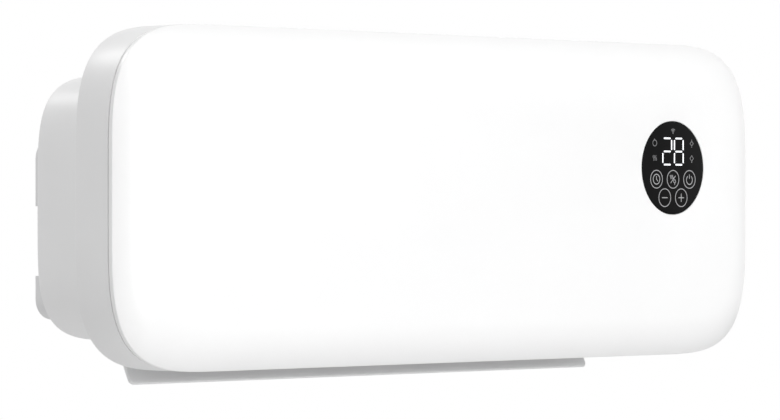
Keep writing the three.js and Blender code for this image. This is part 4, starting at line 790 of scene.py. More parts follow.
@dataclass(frozen=True)
class Outline:
    """A casing's outline seen from the front: a rectangle whose corners are squarish curves."""

    half_width: float
    half_height: float
    middle: float
    corner: float
    squareness: float
    steps: int = 28

    def points(self, inset: float, out: float, rate: float) -> list[Point]:
        """The outline moved inwards.

        Args:
            inset: How far it is moved inwards.
            out: Its distance from the wall.
            rate: How many insets the corners shorten by.

        Returns:
            Its points, in order.
        """
        corner = self.corner - inset * rate
        core_x = self.half_width - inset - corner
        core_z = self.half_height - inset - corner
        found = []
        for quarter, (sign_x, sign_z) in enumerate(((1, 1), (-1, 1), (-1, -1), (1, -1))):
            for step in range(self.steps + 1):
                share = step if quarter % 2 == 0 else self.steps - step
                angle = share / self.steps * pi / 2
                reach_x = corner * abs(cos(angle)) ** (2 / self.squareness)
                reach_z = corner * abs(sin(angle)) ** (2 / self.squareness)
                found.append(
                    (sign_x * (core_x + reach_x), -out, self.middle + sign_z * (core_z + reach_z))
                )
        return found

    def rings(self, model: Modeller, stations: Iterable[Station], rate: float) -> list[list[BMEdge]]:
        """Lays one loop in a mesh for each station.

        Args:
            model: The mesh.
            stations: Pairs of an inset and a distance from the wall.
            rate: How many insets the corners shorten by.

        Returns:
            The loops.
        """
        return [model.ring(self.points(*station, rate)) for station in stations]


# ---- Casing -----------------------------------------------------------------------------------

PANEL_CORNER = 0.088
PANEL_SQUARENESS = 3.45
WALL_RATE = 1.67  # an even wall shortens a squarish corner by this many walls
CROWN_RATE = 1.0
HOUSING_SCREWS = [f"housing_screw_{index}" for index in range(1, 7)]
BOARD_SCREWS = [f"board_screw_{index}" for index in range(1, 5)]


def panel_outline() -> Outline:
    """The outline that the front panel and the band behind it share."""
    low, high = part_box("front_panel")
    return Outline(high.x, (high.z - low.z) / 2, (high.z + low.z) / 2, PANEL_CORNER, PANEL_SQUARENESS)


@dataclass
class FrontPanel:
    """White front shell with its rounded border and the pocket for the display glass."""

    crown_rise: float = 0.0108
    crown_border: float = 0.0266
    crown_steps: int = 20
    brow: float = 0.0005
    brow_steps: int = 4
    rim: float = 0.0031
    groove_depth: float = 0.0014
    wall: float = 0.0025
    edge: float = 0.0003
    edge_steps: int = 3
    pocket_gap: float = 0.0003
    pocket_steps: int = 96
    ledge: float = 0.003
    board_depth: float = 0.008
    board: float = 0.0016
    flat_margin: float = 0.002
    outline: Outline = field(default_factory=panel_outline)

    def __post_init__(self) -> None:
        """Reads the panel's and the glass's places from the frame."""
        low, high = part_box("front_panel")
        self.front = -low.y
        self.lip_back = -high.y
        self.rim_front = self.front - self.crown_rise
        self.rim_back = self.rim_front - self.rim
        glass_low, glass_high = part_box("display_lens")
        self.glass_radius = (glass_high.x - glass_low.x) / 2
        self.glass_back = -glass_high.y

    def crown(self, inset: float, rim_out: float, brow: float = 0.0) -> list[Station]:
        """Stations over the rounded border, an arc that rises from the rim to the flat middle.

        Args:
            inset: How far inside the outline the arc starts.
            rim_out: The start's distance from the wall.
            brow: The radius that the edge between the straight rim and the arc is rounded by.

        Returns:
            Pairs of an inset and a distance from the wall.
        """
        radius = (self.crown_border**2 + self.crown_rise**2) / (2 * self.crown_rise)
        steepest = asin(self.crown_border / radius)
        touch = brow * tan((pi / 2 - steepest) / 2)
        start = steepest - touch / radius
        turns = [(pi / 2 - steepest) * step / self.brow_steps for step in range(self.brow_steps)]
        rounded = [
            (inset + brow * (1 - cos(angle)), rim_out - touch + brow * sin(angle)) for angle in turns
        ]
        arc = [
            (
                inset + self.crown_border - radius * sin(angle),
                rim_out + self.crown_rise - radius * (1 - cos(angle)),
            )
            for angle in (start * (1 - step / self.crown_steps) for step in range(self.crown_steps + 1))
        ]
        return rounded + arc if brow else arc

    def pocket(self) -> list[Station]:
        """Follows the glass's pocket down and round the collar behind it.

        Returns:
            Pairs of a radius and a distance from the wall.
        """
        pocket = self.glass_radius + self.pocket_gap
        floor = self.glass_back - self.pocket_gap
        window = self.glass_radius - self.ledge
        inside = self.front - self.wall
        under = inside - self.ledge
        back = inside - self.board_depth - self.board
        lip = rounding(-self.edge, pocket + self.edge, self.front - self.edge, -90, 0, self.edge_steps)
        return lip + [
            (pocket, floor),
            (window, floor),
            (window, under),
            (pocket, under),
            (pocket, back),
            (pocket + self.wall, back),
            (pocket + self.wall, inside),
        ]

    def build(self) -> None:
        """Models the shell from its lip over the crown to the pocket, and back along its inside."""
        model = Modeller()
        lip = [
            (self.wall, self.lip_back),
            (self.groove_depth, self.lip_back),
            (self.groove_depth, self.rim_back),
            *rounding(-self.edge, self.edge, self.rim_back + self.edge, 90, 0, self.edge_steps),
        ]
        outside = self.crown(0.0, self.rim_front, self.brow)
        outside.append((outside[-1][0] + self.flat_margin, self.front))
        rings = self.outline.rings(model, lip, WALL_RATE)
        rings += self.outline.rings(model, outside, CROWN_RATE)
        model.skin(rings)
        inside = self.crown(self.wall, self.rim_front - self.wall)
        lining = self.outline.rings(model, inside, CROWN_RATE)
        model.skin([rings[0], *lining])
        x, _, z = middle_of("display_lens")
        turns = full_turn(self.pocket_steps)
        pocket = [model.ring(facing_out(circle(x, z, radius, turns), out)) for radius, out in self.pocket()]
        model.skin(pocket)
        model.fill(rings[-1], pocket[0])
        model.fill(lining[-1], pocket[-1])
        Piece("front_panel_shell", PANEL_PLASTIC, Slot.PANEL, stands_for=("front_panel",)).close(model)


@dataclass
class MiddleBand:
    """Band behind the panel: a tray with a rounded rear edge, screw bosses and board posts."""

    wall: float = 0.0025
    back_wall: float = 0.0025
    back_radius: float = 0.0014
    back_steps: int = 6
    flat_margin: float = 0.0005
    edge: float = 0.0003
    edge_steps: int = 3
    boss: tuple[float, float] = (0.004, 0.011)  # radius and length
    boss_bore: float = 0.002
    post: tuple[float, float] = (0.004, 0.007)
    post_bore: float = 0.0018
    post_root: float = 0.0005
    post_steps: int = 24
    window: tuple[float, float] = (0.026, 0.016)
    window_middle: tuple[float, float] = (0.232, -0.042)
    window_corner: float = 0.003
    window_steps: int = 6
    outline: Outline = field(default_factory=panel_outline)

    def build(self) -> None:
        """Models the tray's outside and inside in one skin, with its bosses and posts."""
        low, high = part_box("mid_casing")
        back, front = -high.y, -low.y
        floor = back + self.back_wall
        rear, rim = back + self.back_radius, front - self.edge
        model = Modeller()
        stations = [
            (self.back_radius + self.flat_margin, back),
            *rounding(-self.back_radius, self.back_radius, rear, 90, 0, self.back_steps),
            *rounding(-self.edge, self.edge, rim, 0, -90, self.edge_steps),
            *rounding(self.edge, self.wall - self.edge, rim, 90, 0, self.edge_steps),
            (self.wall, floor),
        ]
        rings = self.outline.rings(model, stations, WALL_RATE)
        model.skin(rings)
        window = slot_points(*self.window_middle, *self.window, self.window_corner, self.window_steps)
        holes = [model.ring(facing_out(window, out)) for out in (back, floor)]
        model.skin(holes)
        model.fill(rings[0], holes[0])
        model.fill(rings[-1], holes[1])
        for screws, post, bore in (
            (HOUSING_SCREWS, self.boss, self.boss_bore),
            (BOARD_SCREWS, self.post, self.post_bore),
        ):
            for screw in screws:
                self.stand(model, screw, floor, post, bore)
        # The band's plastic is the housing's white, darkened as painted shade.
        Piece("mid_casing_band", BAND_PLASTIC_PAINTED_SHADE, Slot.CASING, stands_for=("mid_casing",)).close(model)

    def stand(
        self, model: Modeller, screw: str, floor: float, post: tuple[float, float], bore: float
    ) -> None:
        """Stands a hollow post on the tray's floor in line with a screw.

        Args:
            model: The tray.
            screw: The screw's node.
            floor: The floor's distance from the wall.
            post: The post's radius and length.
            bore: The radius of its hole.
        """
        x, _, z = middle_of(screw)
        radius, length = post
        profile = [(bore, -self.post_root), (radius, -self.post_root), (radius, length), (bore, length)]
        model.turn(profile, Axis.OUT.place(x, -floor, z), self.post_steps, closed=True)


@dataclass
class RearHousing:
    """Tub between the band and the wall, with the air's way in and out and its screw wells."""

    corner: float = 0.079
    squareness: float = 4.1
    wall: float = 0.0025
    back_radius: float = 0.001
    back_steps: int = 8
    flat_margin: float = 0.0005
    tower_radius: float = 0.0054
    tower_start: float = 0.0001
    tower_floor: float = 0.0025
    well_radius: float = 0.0037
    well_mouth: float = 0.0042
    well_steps: int = 32
    shank_hole: float = 0.002
    hook_slot: tuple[float, float] = (0.0164, 0.013)
    hook_slot_corner: float = 0.0005
    hook_slot_steps: int = 2
    hook_spacing: float = 0.462
    hook_middle: float = 0.0157
    bush_radius: float = 0.007
    bush_steps: int = 40
    outlet_length: float = 0.4294
    outlet_back: float = 0.023
    outlet_front: float = 0.0691
    switch_flange: float = 0.002
    cut_reach: float = 0.004
    lug_thickness: float = 0.003
    lug_edge: float = 0.0003
    motor_lug: float = 0.029
    pin_lug: float = 0.011
    pin_hole: float = 0.00255
    pin_hole_steps: int = 24
    pin_top: float = -0.0766
    lug_gap: float = 0.0052
    gap: float = 0.0003

    def __post_init__(self) -> None:
        """Reads the housing's place and its screws' places from the frame."""
        low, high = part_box("rear_housing")
        self.back = -high.y
        self.front = -low.y
        self.top = high.z
        self.bottom = low.z
        self.side = high.x
        self.outline = Outline(
            high.x, (high.z - low.z) / 2, (high.z + low.z) / 2, self.corner, self.squareness
        )
        self.screws = [(x, z) for x, _, z in map(middle_of, HOUSING_SCREWS)]

    def openings(self) -> list[tuple[Vector, Vector, str]]:
        """The inlet, the outlet and the switch's hole.

        Returns:
            For each, the two corners of the box that is cut away and the axes that bound it.
        """
        reach = self.cut_reach
        grille_low, grille_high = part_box("inlet_grille")
        inlet = (
            Vector((grille_low.x - self.gap, grille_low.y - self.gap, self.top - reach)),
            Vector((grille_high.x + self.gap, grille_high.y + self.gap, self.top + reach)),
            "xy",
        )
        half = self.outlet_length / 2
        outlet = (
            Vector((-half, -self.outlet_front, self.bottom - reach)),
            Vector((half, -self.outlet_back, self.bottom + reach)),
            "xy",
        )
        frame_low, frame_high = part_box("switch_frame")
        flange = self.switch_flange - self.gap
        switch = (
            Vector((self.side - reach, frame_low.y + flange, frame_low.z + flange)),
            Vector((self.side + reach, frame_high.y - flange, frame_high.z - flange)),
            "yz",
        )
        return [inlet, outlet, switch]

    def cut(self, model: Modeller, low: Vector, high: Vector, axes: str) -> None:
        """Cuts the skin's part between two corners away.

        Args:
            model: The housing's skin.
            low: The lowest corner of the opening.
            high: The highest corner.
            axes: The axes along which the opening has an edge in the skin.
        """
        for axis in axes:
            normal = Vector([float(axis == name) for name in "xyz"])
            for corner in (low, high):
                model.slice(corner, normal)
        inside = [
            face
            for face in model.bm.faces
            if all(low[i] < face.calc_center_median()[i] < high[i] for i in range(3))
        ]
        bmesh.ops.delete(model.bm, geom=inside, context="FACES")

    def build(self) -> None:
        """Models the tub's outer skin with its openings, and the screw towers and flap lugs."""
        model = Modeller()
        bend = rounding(
            -self.back_radius, self.back_radius, self.back + self.back_radius, 90, 0, self.back_steps
        )
        stations = [(self.back_radius + self.flat_margin, self.back), *bend, (0.0, self.front)]
        model.skin(self.outline.rings(model, stations, WALL_RATE))
        for low, high, axes in self.openings():
            self.cut(model, low, high, axes)
        rim = [
            edge
            for edge in model.bm.edges
            if edge.is_boundary and all(vert.co.y > -self.back - MERGE for vert in edge.verts)
        ]
        model.fill(rim, *[model.ring(facing_out(hole, self.back)) for hole in self.back_holes()])
        tub = Piece("rear_housing_tub", CASING_PLASTIC, Slot.CASING, stands_for=("rear_housing",))
        tub.close(model, wall=self.wall)
        self.build_towers()
        self.build_lugs()

    def back_holes(self) -> list[list[Station]]:
        """Outlines of the screw wells, the lead's bush and the hook slots in the tub's back.

        Returns:
            The points of each outline.
        """
        holes = [circle(x, z, self.well_mouth, full_turn(self.well_steps)) for x, z in self.screws]
        x, _, z = middle_of("cord_gland")
        holes.append(circle(x, z, self.bush_radius + self.gap, full_turn(self.bush_steps)))
        for side in (-1, 1):
            place = (side * self.hook_spacing / 2, self.hook_middle)
            holes.append(slot_points(*place, *self.hook_slot, self.hook_slot_corner, self.hook_slot_steps))
        return holes

    def build_towers(self) -> None:
        """Models the six towers that the screws reach through from the back."""
        model = Modeller()
        start, end = self.back + self.tower_start, self.front
        floor = end - self.tower_floor
        profile = [
            (self.well_radius, start),
            (self.well_radius, floor),
            (self.shank_hole, floor),
            (self.shank_hole, end),
            (self.tower_radius, end),
            (self.tower_radius, start),
        ]
        for x, z in self.screws:
            model.turn(profile, Axis.OUT.place(x, 0, z), self.well_steps, closed=True)
        Piece("rear_housing_towers", CASING_PLASTIC, Slot.CASING).close(model)

    def build_lugs(self) -> None:
        """Models the two lugs inside the floor that carry the flap's pins."""
        model = Modeller()
        motor_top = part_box("flap_motor")[1].z - self.lug_gap
        _, y, z = joint_named("flap_swing")["pos_m"]
        foot = self.bottom + self.wall / 2
        for side, across, top in ((-1, self.motor_lug, motor_top), (1, self.pin_lug, self.pin_top)):
            x = side * self.outlet_length / 2
            low, high = y - across / 2, y + across / 2
            corners = [(x, low, foot), (x, high, foot), (x, high, top), (x, low, top)]
            hole = [(x, *point) for point in circle(y, z, self.pin_hole, full_turn(self.pin_hole_steps))]
            verts = model.prism(corners, (side * self.lug_thickness, 0, 0), [hole])
            model.soften(verts, self.lug_edge)
        Piece("rear_housing_lugs", CASING_PLASTIC, Slot.CASING).close(model)


# ---- Wall bracket -----------------------------------------------------------------------------


@dataclass
class WallBracket:
    """Pressed steel tray on the wall with folded edges, side notches, wall slots and two hooks."""

    depth: float = 0.010
    sheet: float = 0.0016
    corner: float = 0.013
    corner_steps: int = 8
    fold: float = 0.0018
    fold_steps: int = 4
    flat_margin: float = 0.0005
    notch_width: float = 0.026
    notch_bottom: float = -0.049
    notch_height: float = 0.044
    slot: tuple[float, float] = (0.014, 0.005)
    slot_end: float = 0.00249
    slot_steps: int = 6
    slot_columns: tuple[float, ...] = (-0.190, 0.0, 0.190)
    slot_rows: tuple[float, ...] = (0.022, -0.060)
    hook_spacing: float = 0.462
    hook_width: float = 0.014
    hook_height: float = 0.012
    hook_rise: float = 0.009
    hook_bend: float = 0.002
    hook_bend_ease: float = 0.3
    hook_edge: float = 0.00025
    hook_sharpest: float = 50.0

    def build(self) -> None:
        """Models the tray as the skin of its wall side, and its hooks."""
        low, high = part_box("wall_bracket")
        width, height = high.x - low.x, high.z - low.z
        middle = (high.z + low.z) / 2
        model = Modeller()
        bend = rounding(-self.fold, self.fold, self.fold, 90, 0, self.fold_steps)
        rings = []
        for inset, out in ((self.fold + self.flat_margin, 0.0), *bend, (0.0, self.depth)):
            size = (width - 2 * inset, height - 2 * inset, self.corner - inset)
            rings.append(model.ring(facing_out(slot_points(0, middle, *size, self.corner_steps), out)))
        model.skin(rings)
        slots = [
            model.ring(facing_out(slot_points(x, z, *self.slot, self.slot_end, self.slot_steps), 0.0))
            for x in self.slot_columns
            for z in self.slot_rows
        ]
        model.fill(rings[0], *slots)
        self.notch(model, width)
        tray = Piece("wall_bracket_tray", BRACKET_COAT, Slot.POWDER, stands_for=("wall_bracket",))
        tray.close(model, wall=self.sheet)
        self.build_hooks()

    def notch(self, model: Modeller, width: float) -> None:
        """Cuts the notch that a lead leaves through out of both sides.

        Args:
            model: The tray.
            width: How wide the tray is.
        """
        inner = width / 2 - self.notch_width
        bottom, top = self.notch_bottom, self.notch_bottom + self.notch_height
        right, up = Vector((1, 0, 0)), Vector((0, 0, 1))
        for normal, distance in ((right, -inner), (right, inner), (up, bottom), (up, top)):
            model.slice(normal * distance, normal)
        gone = [
            face
            for face in model.bm.faces
            if abs(face.calc_center_median().x) > inner and bottom < face.calc_center_median().z < top
        ]
        bmesh.ops.delete(model.bm, geom=gone, context="FACES")

    def build_hooks(self) -> None:
        """Models the two hooks: an arm out of the tray and a lip turned up at its end."""
        tip = -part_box("wall_bracket")[0].y
        arm_low, lip_top = self.hook_height - self.sheet, self.hook_height + self.hook_rise
        root, bend, near = self.sheet / 2, self.hook_bend, self.hook_bend * self.hook_bend_ease
        profile = [
            (root, arm_low),
            (tip - bend, arm_low),
            (tip - near, arm_low + near),
            (tip, arm_low + bend),
            (tip, lip_top),
            (tip - self.sheet, lip_top),
            (tip - self.sheet, self.hook_height),
            (root, self.hook_height),
        ]
        model = Modeller()
        for side in (-1, 1):
            x = side * self.hook_spacing / 2 - self.hook_width / 2
            verts = model.prism([(x, -out, z) for out, z in profile], (self.hook_width, 0, 0))
            model.soften(verts, self.hook_edge, self.hook_sharpest)
        Piece("wall_bracket_hooks", BRACKET_COAT, Slot.POWDER).close(model)


# ---- Display ----------------------------------------------------------------------------------

GLASS_SUNK = 0.00012  # how far the glass lies below its CAD solid, which leaves room for the prints


@dataclass
class DisplayGlass:
    """Round black glass, flush with the panel, with a rounded front edge."""

    edge: float = 0.0004
    edge_steps: int = 4
    steps: int = 128
    crease: float = 50.0

    def build(self) -> None:
        """Turns the glass about its middle."""
        low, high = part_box("display_lens")
        x, _, z = middle_of("display_lens")
        radius, front = (high.x - low.x) / 2, -low.y - GLASS_SUNK
        corner = circle(radius - self.edge, front - self.edge, self.edge, sweep(0, 90, self.edge_steps))
        profile = [(0.0, -high.y), (radius, -high.y), *corner, (0.0, front)]
        model = Modeller()
        model.turn(profile, Axis.OUT.place(x, 0, z), self.steps)
        model.outward()
        piece = Piece("display_glass", DISPLAY_GLASS, Slot.GLASS, stands_for=("display_lens",))
        piece.add(model.mesh(piece.name, self.crease))


@dataclass
class GlassPrint:
    """Lays flat figures on the glass, at places about its middle."""

    rise: float = 0.00008
    sunk: float = 0.00001
    shift: float = 0.0002
    hoop_steps: int = 48
    arc_steps: int = 24
    wave_sway: float = 0.14
    wave_steps: int = 12

    def __post_init__(self) -> None:
        """Reads the glass's place from the frame."""
        self.x, _, self.z = middle_of("display_lens")
        self.out = -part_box("display_lens")[0].y - GLASS_SUNK - self.sunk

    def flat(
        self, model: Modeller, points: Sequence[Station], holes: Sequence[Sequence[Station]] = ()
    ) -> None:
        """Lays a filled figure.

        Args:
            model: The mesh that it goes into.
            points: Its outline.
            holes: Outlines of its holes.
        """
        loops = [facing_out(moved(loop, self.x + self.shift, self.z), self.out) for loop in (points, *holes)]
        model.prism(loops[0], (0, -self.rise, 0), loops[1:])

    def stroke(self, model: Modeller, line: Sequence[Station], width: float) -> None:
        """Lays an open line of even width.

        Args:
            model: The mesh that it goes into.
            line: Points along its middle.
            width: How wide it is.
        """
        left, right = [], []
        for index, (x, z) in enumerate(line):
            before = line[max(index - 1, 0)]
            after = line[min(index + 1, len(line) - 1)]
            along = Vector((after[0] - before[0], after[1] - before[1])).normalized() * width / 2
            left.append((x - along.y, z + along.x))
            right.append((x + along.y, z - along.x))
        self.flat(model, left + right[::-1])

    def hoop(self, model: Modeller, x: float, z: float, radius: float, width: float) -> None:
        """Lays a circle of even width about a point."""
        outer, inner = (circle(x, z, reach, full_turn(self.hoop_steps)) for reach in (radius, radius - width))
        self.flat(model, outer, [inner])

    def arc(self, x: float, z: float, radius: float, start: float, end: float) -> list[Station]:
        """Points along an arc, from one angle in degrees to another."""
        return circle(x, z, radius, sweep(start, end, self.arc_steps))

    def heat(self, model: Modeller, x: float, z: float, pitch: float, height: float, width: float) -> None:
        """Lays three wavy lines of rising heat.

        Args:
            model: The mesh that they go into.
            x: Their middle, to the right.
            z: Their middle, upwards.
            pitch: How far apart they are.
            height: How high they are.
            width: How wide each line is.
        """
        sway = height * self.wave_sway
        shares = [step / self.wave_steps for step in range(self.wave_steps + 1)]
        wave = [(sway * sin(2 * pi * share), height * (share - 0.5)) for share in shares]
        for shift in (-pitch, 0.0, pitch):
            self.stroke(model, moved(wave, x + shift, z), width)


@dataclass
class Digits(GlassPrint):
    """Two lit digits of seven segments each."""

    shown: str = "28"
    middle: float = 0.0113
    width: float = 0.0091
    height: float = 0.0181
    pitch: float = 0.0121
    segment: float = 0.0011
    gap: float = 0.0021
    nose_share: float = 0.3
    nose_steps: int = 8

    def build(self) -> None:
        """Lights the segments."""
        lit = {"2": "abged", "8": "abcdefg"}
        side, half = self.width / 2, self.height / 2
        lying = {"a": half, "g": 0, "d": -half}
        standing = {"f": (-side, 1), "b": (side, 1), "e": (-side, -1), "c": (side, -1)}
        flat_bar = self.bar(self.width - self.gap)
        tall_bar = [(across, along) for along, across in self.bar(half - self.gap)]
        model = Modeller()
        for index, digit in enumerate(self.shown):
            middle = (index - 0.5) * self.pitch
            for name in lit[digit]:
                if name in lying:
                    self.flat(model, moved(flat_bar, middle, self.middle + lying[name]))
                else:
                    x, up = standing[name]
                    self.flat(model, moved(tall_bar, middle + x, self.middle + up * half / 2))
        Piece("display_digits", SEGMENT_LIGHT, Slot.GLASS).close(model)

    def bar(self, length: float) -> list[Station]:
        """Points round one lying segment, whose ends are rounded off.

        Args:
            length: How long it is.

        Returns:
            Its outline about its own middle.
        """
        nose = self.segment * self.nose_share
        straight = length / 2 - nose
        found = []
        for side, start in ((1, -90), (-1, 90)):
            for angle in sweep(start, start + 180, self.nose_steps):
                found.append((side * straight + nose * cos(angle), self.segment / 2 * sin(angle)))
        return found


class Sign(Enum):
    """The signs printed inside the key rings, in the keys' order."""

    CLOCK = 1
    MODE = 2
    POWER = 3
    LESS = 4
    MORE = 5


@dataclass
class KeySigns(GlassPrint):
    """The ring and the sign of each touch key, over its spring."""

    ring_radius: float = 0.0064
    ring_stroke: float = 0.00052
    line: float = 0.00058
    clock_radius: float = 0.0037
    long_hand: float = 0.0021
    short_hand: float = 0.0014
    power_radius: float = 0.0031
    power_drop: float = 0.0004
    power_spread: tuple[float, float] = (124, 416)
    power_bar: float = 0.0034
    plus_reach: float = 0.0029
    slash: tuple[Station, Station] = ((-0.0024, -0.0026), (0.0026, 0.0024))
    slash_share: float = 0.9
    heat_middle: Station = (-0.0014, 0.0016)
    heat_pitch: float = 0.0012
    heat_height: float = 0.0028
    lamp_middle: Station = (0.0017, -0.0014)
    lamp_radius: float = 0.0013
    lamp_foot: tuple[float, float] = (-0.0028, -0.0038)
    fine_share: float = 0.75

    def build(self) -> None:
        """Prints the five rings and what is inside them."""
        rings, signs = Modeller(), Modeller()
        for sign in Sign:
            x, _, z = middle_of(f"touch_spring_{sign.value}")
            self.hoop(rings, x - self.x, z - self.z, self.ring_radius, self.ring_stroke)
            self.draw(signs, sign, x - self.x, z - self.z)
        Piece("display_key_rings", KEY_INK, Slot.GLASS).close(rings)
        Piece("display_key_signs", KEY_INK, Slot.GLASS).close(signs)

    def draw(self, model: Modeller, sign: Sign, x: float, z: float) -> None:
        """Prints one sign.

        Args:
            model: The mesh that it goes into.
            sign: Which one.
            x: Its middle, to the right.
            z: Its middle, upwards.
        """
        reach, half = self.plus_reach, self.line / 2
        level = [(-reach, 0), (reach, 0)]
        lines = {
            Sign.CLOCK: [[(0, self.long_hand), (0, 0), (self.short_hand, -self.short_hand)]],
            Sign.MODE: [],
            Sign.POWER: [
                self.arc(0, -self.power_drop, self.power_radius, *self.power_spread),
                [(0, self.power_bar), (0, self.power_drop)],
            ],
            Sign.LESS: [level],
            Sign.MORE: [level, [(0, reach), (0, half)], [(0, -half), (0, -reach)]],
        }
        if sign is Sign.CLOCK:
            self.hoop(model, x, z, self.clock_radius, self.line)
        if sign is Sign.MODE:
            self.draw_mode(model, x, z)
        for line in lines[sign]:
            self.stroke(model, moved(line, x, z), self.line)

    def draw_mode(self, model: Modeller, x: float, z: float) -> None:
        """Prints rising heat and a small lamp, with a slanting line between them.

        Args:
            model: The mesh that they go into.
            x: Their middle, to the right.
            z: Their middle, upwards.
        """
        fine, bold = self.line * self.fine_share, self.line * self.slash_share
        self.stroke(model, moved(self.slash, x, z), bold)
        heat_x, heat_z = self.heat_middle
        self.heat(model, x + heat_x, z + heat_z, self.heat_pitch, self.heat_height, fine)
        lamp_x, lamp_z = self.lamp_middle
        self.hoop(model, x + lamp_x, z + lamp_z, self.lamp_radius, fine)
        self.stroke(model, moved([(lamp_x, foot) for foot in self.lamp_foot], x, z), bold)


@dataclass
class SmallSigns(GlassPrint):
    """The five small signs round the digits: radio waves, a drop, heat, a sun and a lamp."""

    line: float = 0.0005
    top: float = 0.0240
    sides: tuple[float, float] = (-0.0190, 0.0196)
    rows: tuple[float, float] = (0.0067, 0.0170)
    wave_radii: tuple[float, ...] = (0.0010, 0.0019, 0.0028)
    wave_spread: tuple[float, float] = (46, 134)
    dot_radius: float = 0.0005
    dot_spread: tuple[float, float] = (0, 345)
    drop_radius: float = 0.0023
    drop_tip: tuple[Station, Station] = ((-0.0009, 0.0022), (0.0, 0.0029))
    drop_share: float = 0.8
    heat_pitch: float = 0.0014
    heat_height: float = 0.0036
    sun: Station = (0.0021, 0.0020)
    sun_ray: tuple[float, float] = (0.0021, 0.0027)
    ray_share: float = 1.4
    lamp: Station = (0.0022, 0.0023)
    lamp_foot: tuple[float, float] = (-0.0022, -0.0030)
    foot_share: float = 1.8
    slant: float = 1.4  # a slanting line's width along an axis, in its own widths

    def build(self) -> None:
        """Prints the signs."""
        model = Modeller()
        (left, right), (low, high) = self.sides, self.rows
        for radius in self.wave_radii:
            self.stroke(model, self.arc(0, self.top, radius, *self.wave_spread), self.line)
        self.flat(model, self.arc(0, self.top, self.dot_radius, *self.dot_spread))
        self.hoop(model, left, high, self.drop_radius, self.line)
        self.stroke(model, moved(self.drop_tip, left, high), self.line * self.drop_share)
        self.heat(model, left, low, self.heat_pitch, self.heat_height, self.line)
        self.diamond(model, right, high, *self.sun)
        for side in (-1, 1):
            ray = [(0, side * reach) for reach in self.sun_ray]
            self.stroke(model, moved(ray, right, high), self.line * self.ray_share)
        self.diamond(model, right, low, *self.lamp)
        foot = [(0, reach) for reach in self.lamp_foot]
        self.stroke(model, moved(foot, right, low), self.line * self.foot_share)
        Piece("display_small_signs", SIGN_INK, Slot.GLASS).close(model)

    def diamond(self, model: Modeller, x: float, z: float, across: float, up: float) -> None:
        """Prints a hollow diamond.

        Args:
            model: The mesh that it goes into.
            x: Its middle, to the right.
            z: Its middle, upwards.
            across: How far its side corners lie from its middle.
            up: How far its upper and lower corners do.
        """
        inset = self.line * self.slant
        outer, inner = (
            moved([(a, 0), (0, u), (-a, 0), (0, -u)], x, z)
            for a, u in ((across, up), (across - inset, up - inset))
        )
        self.flat(model, outer, [inner])


# ---- Air's way in and out ---------------------------------------------------------------------


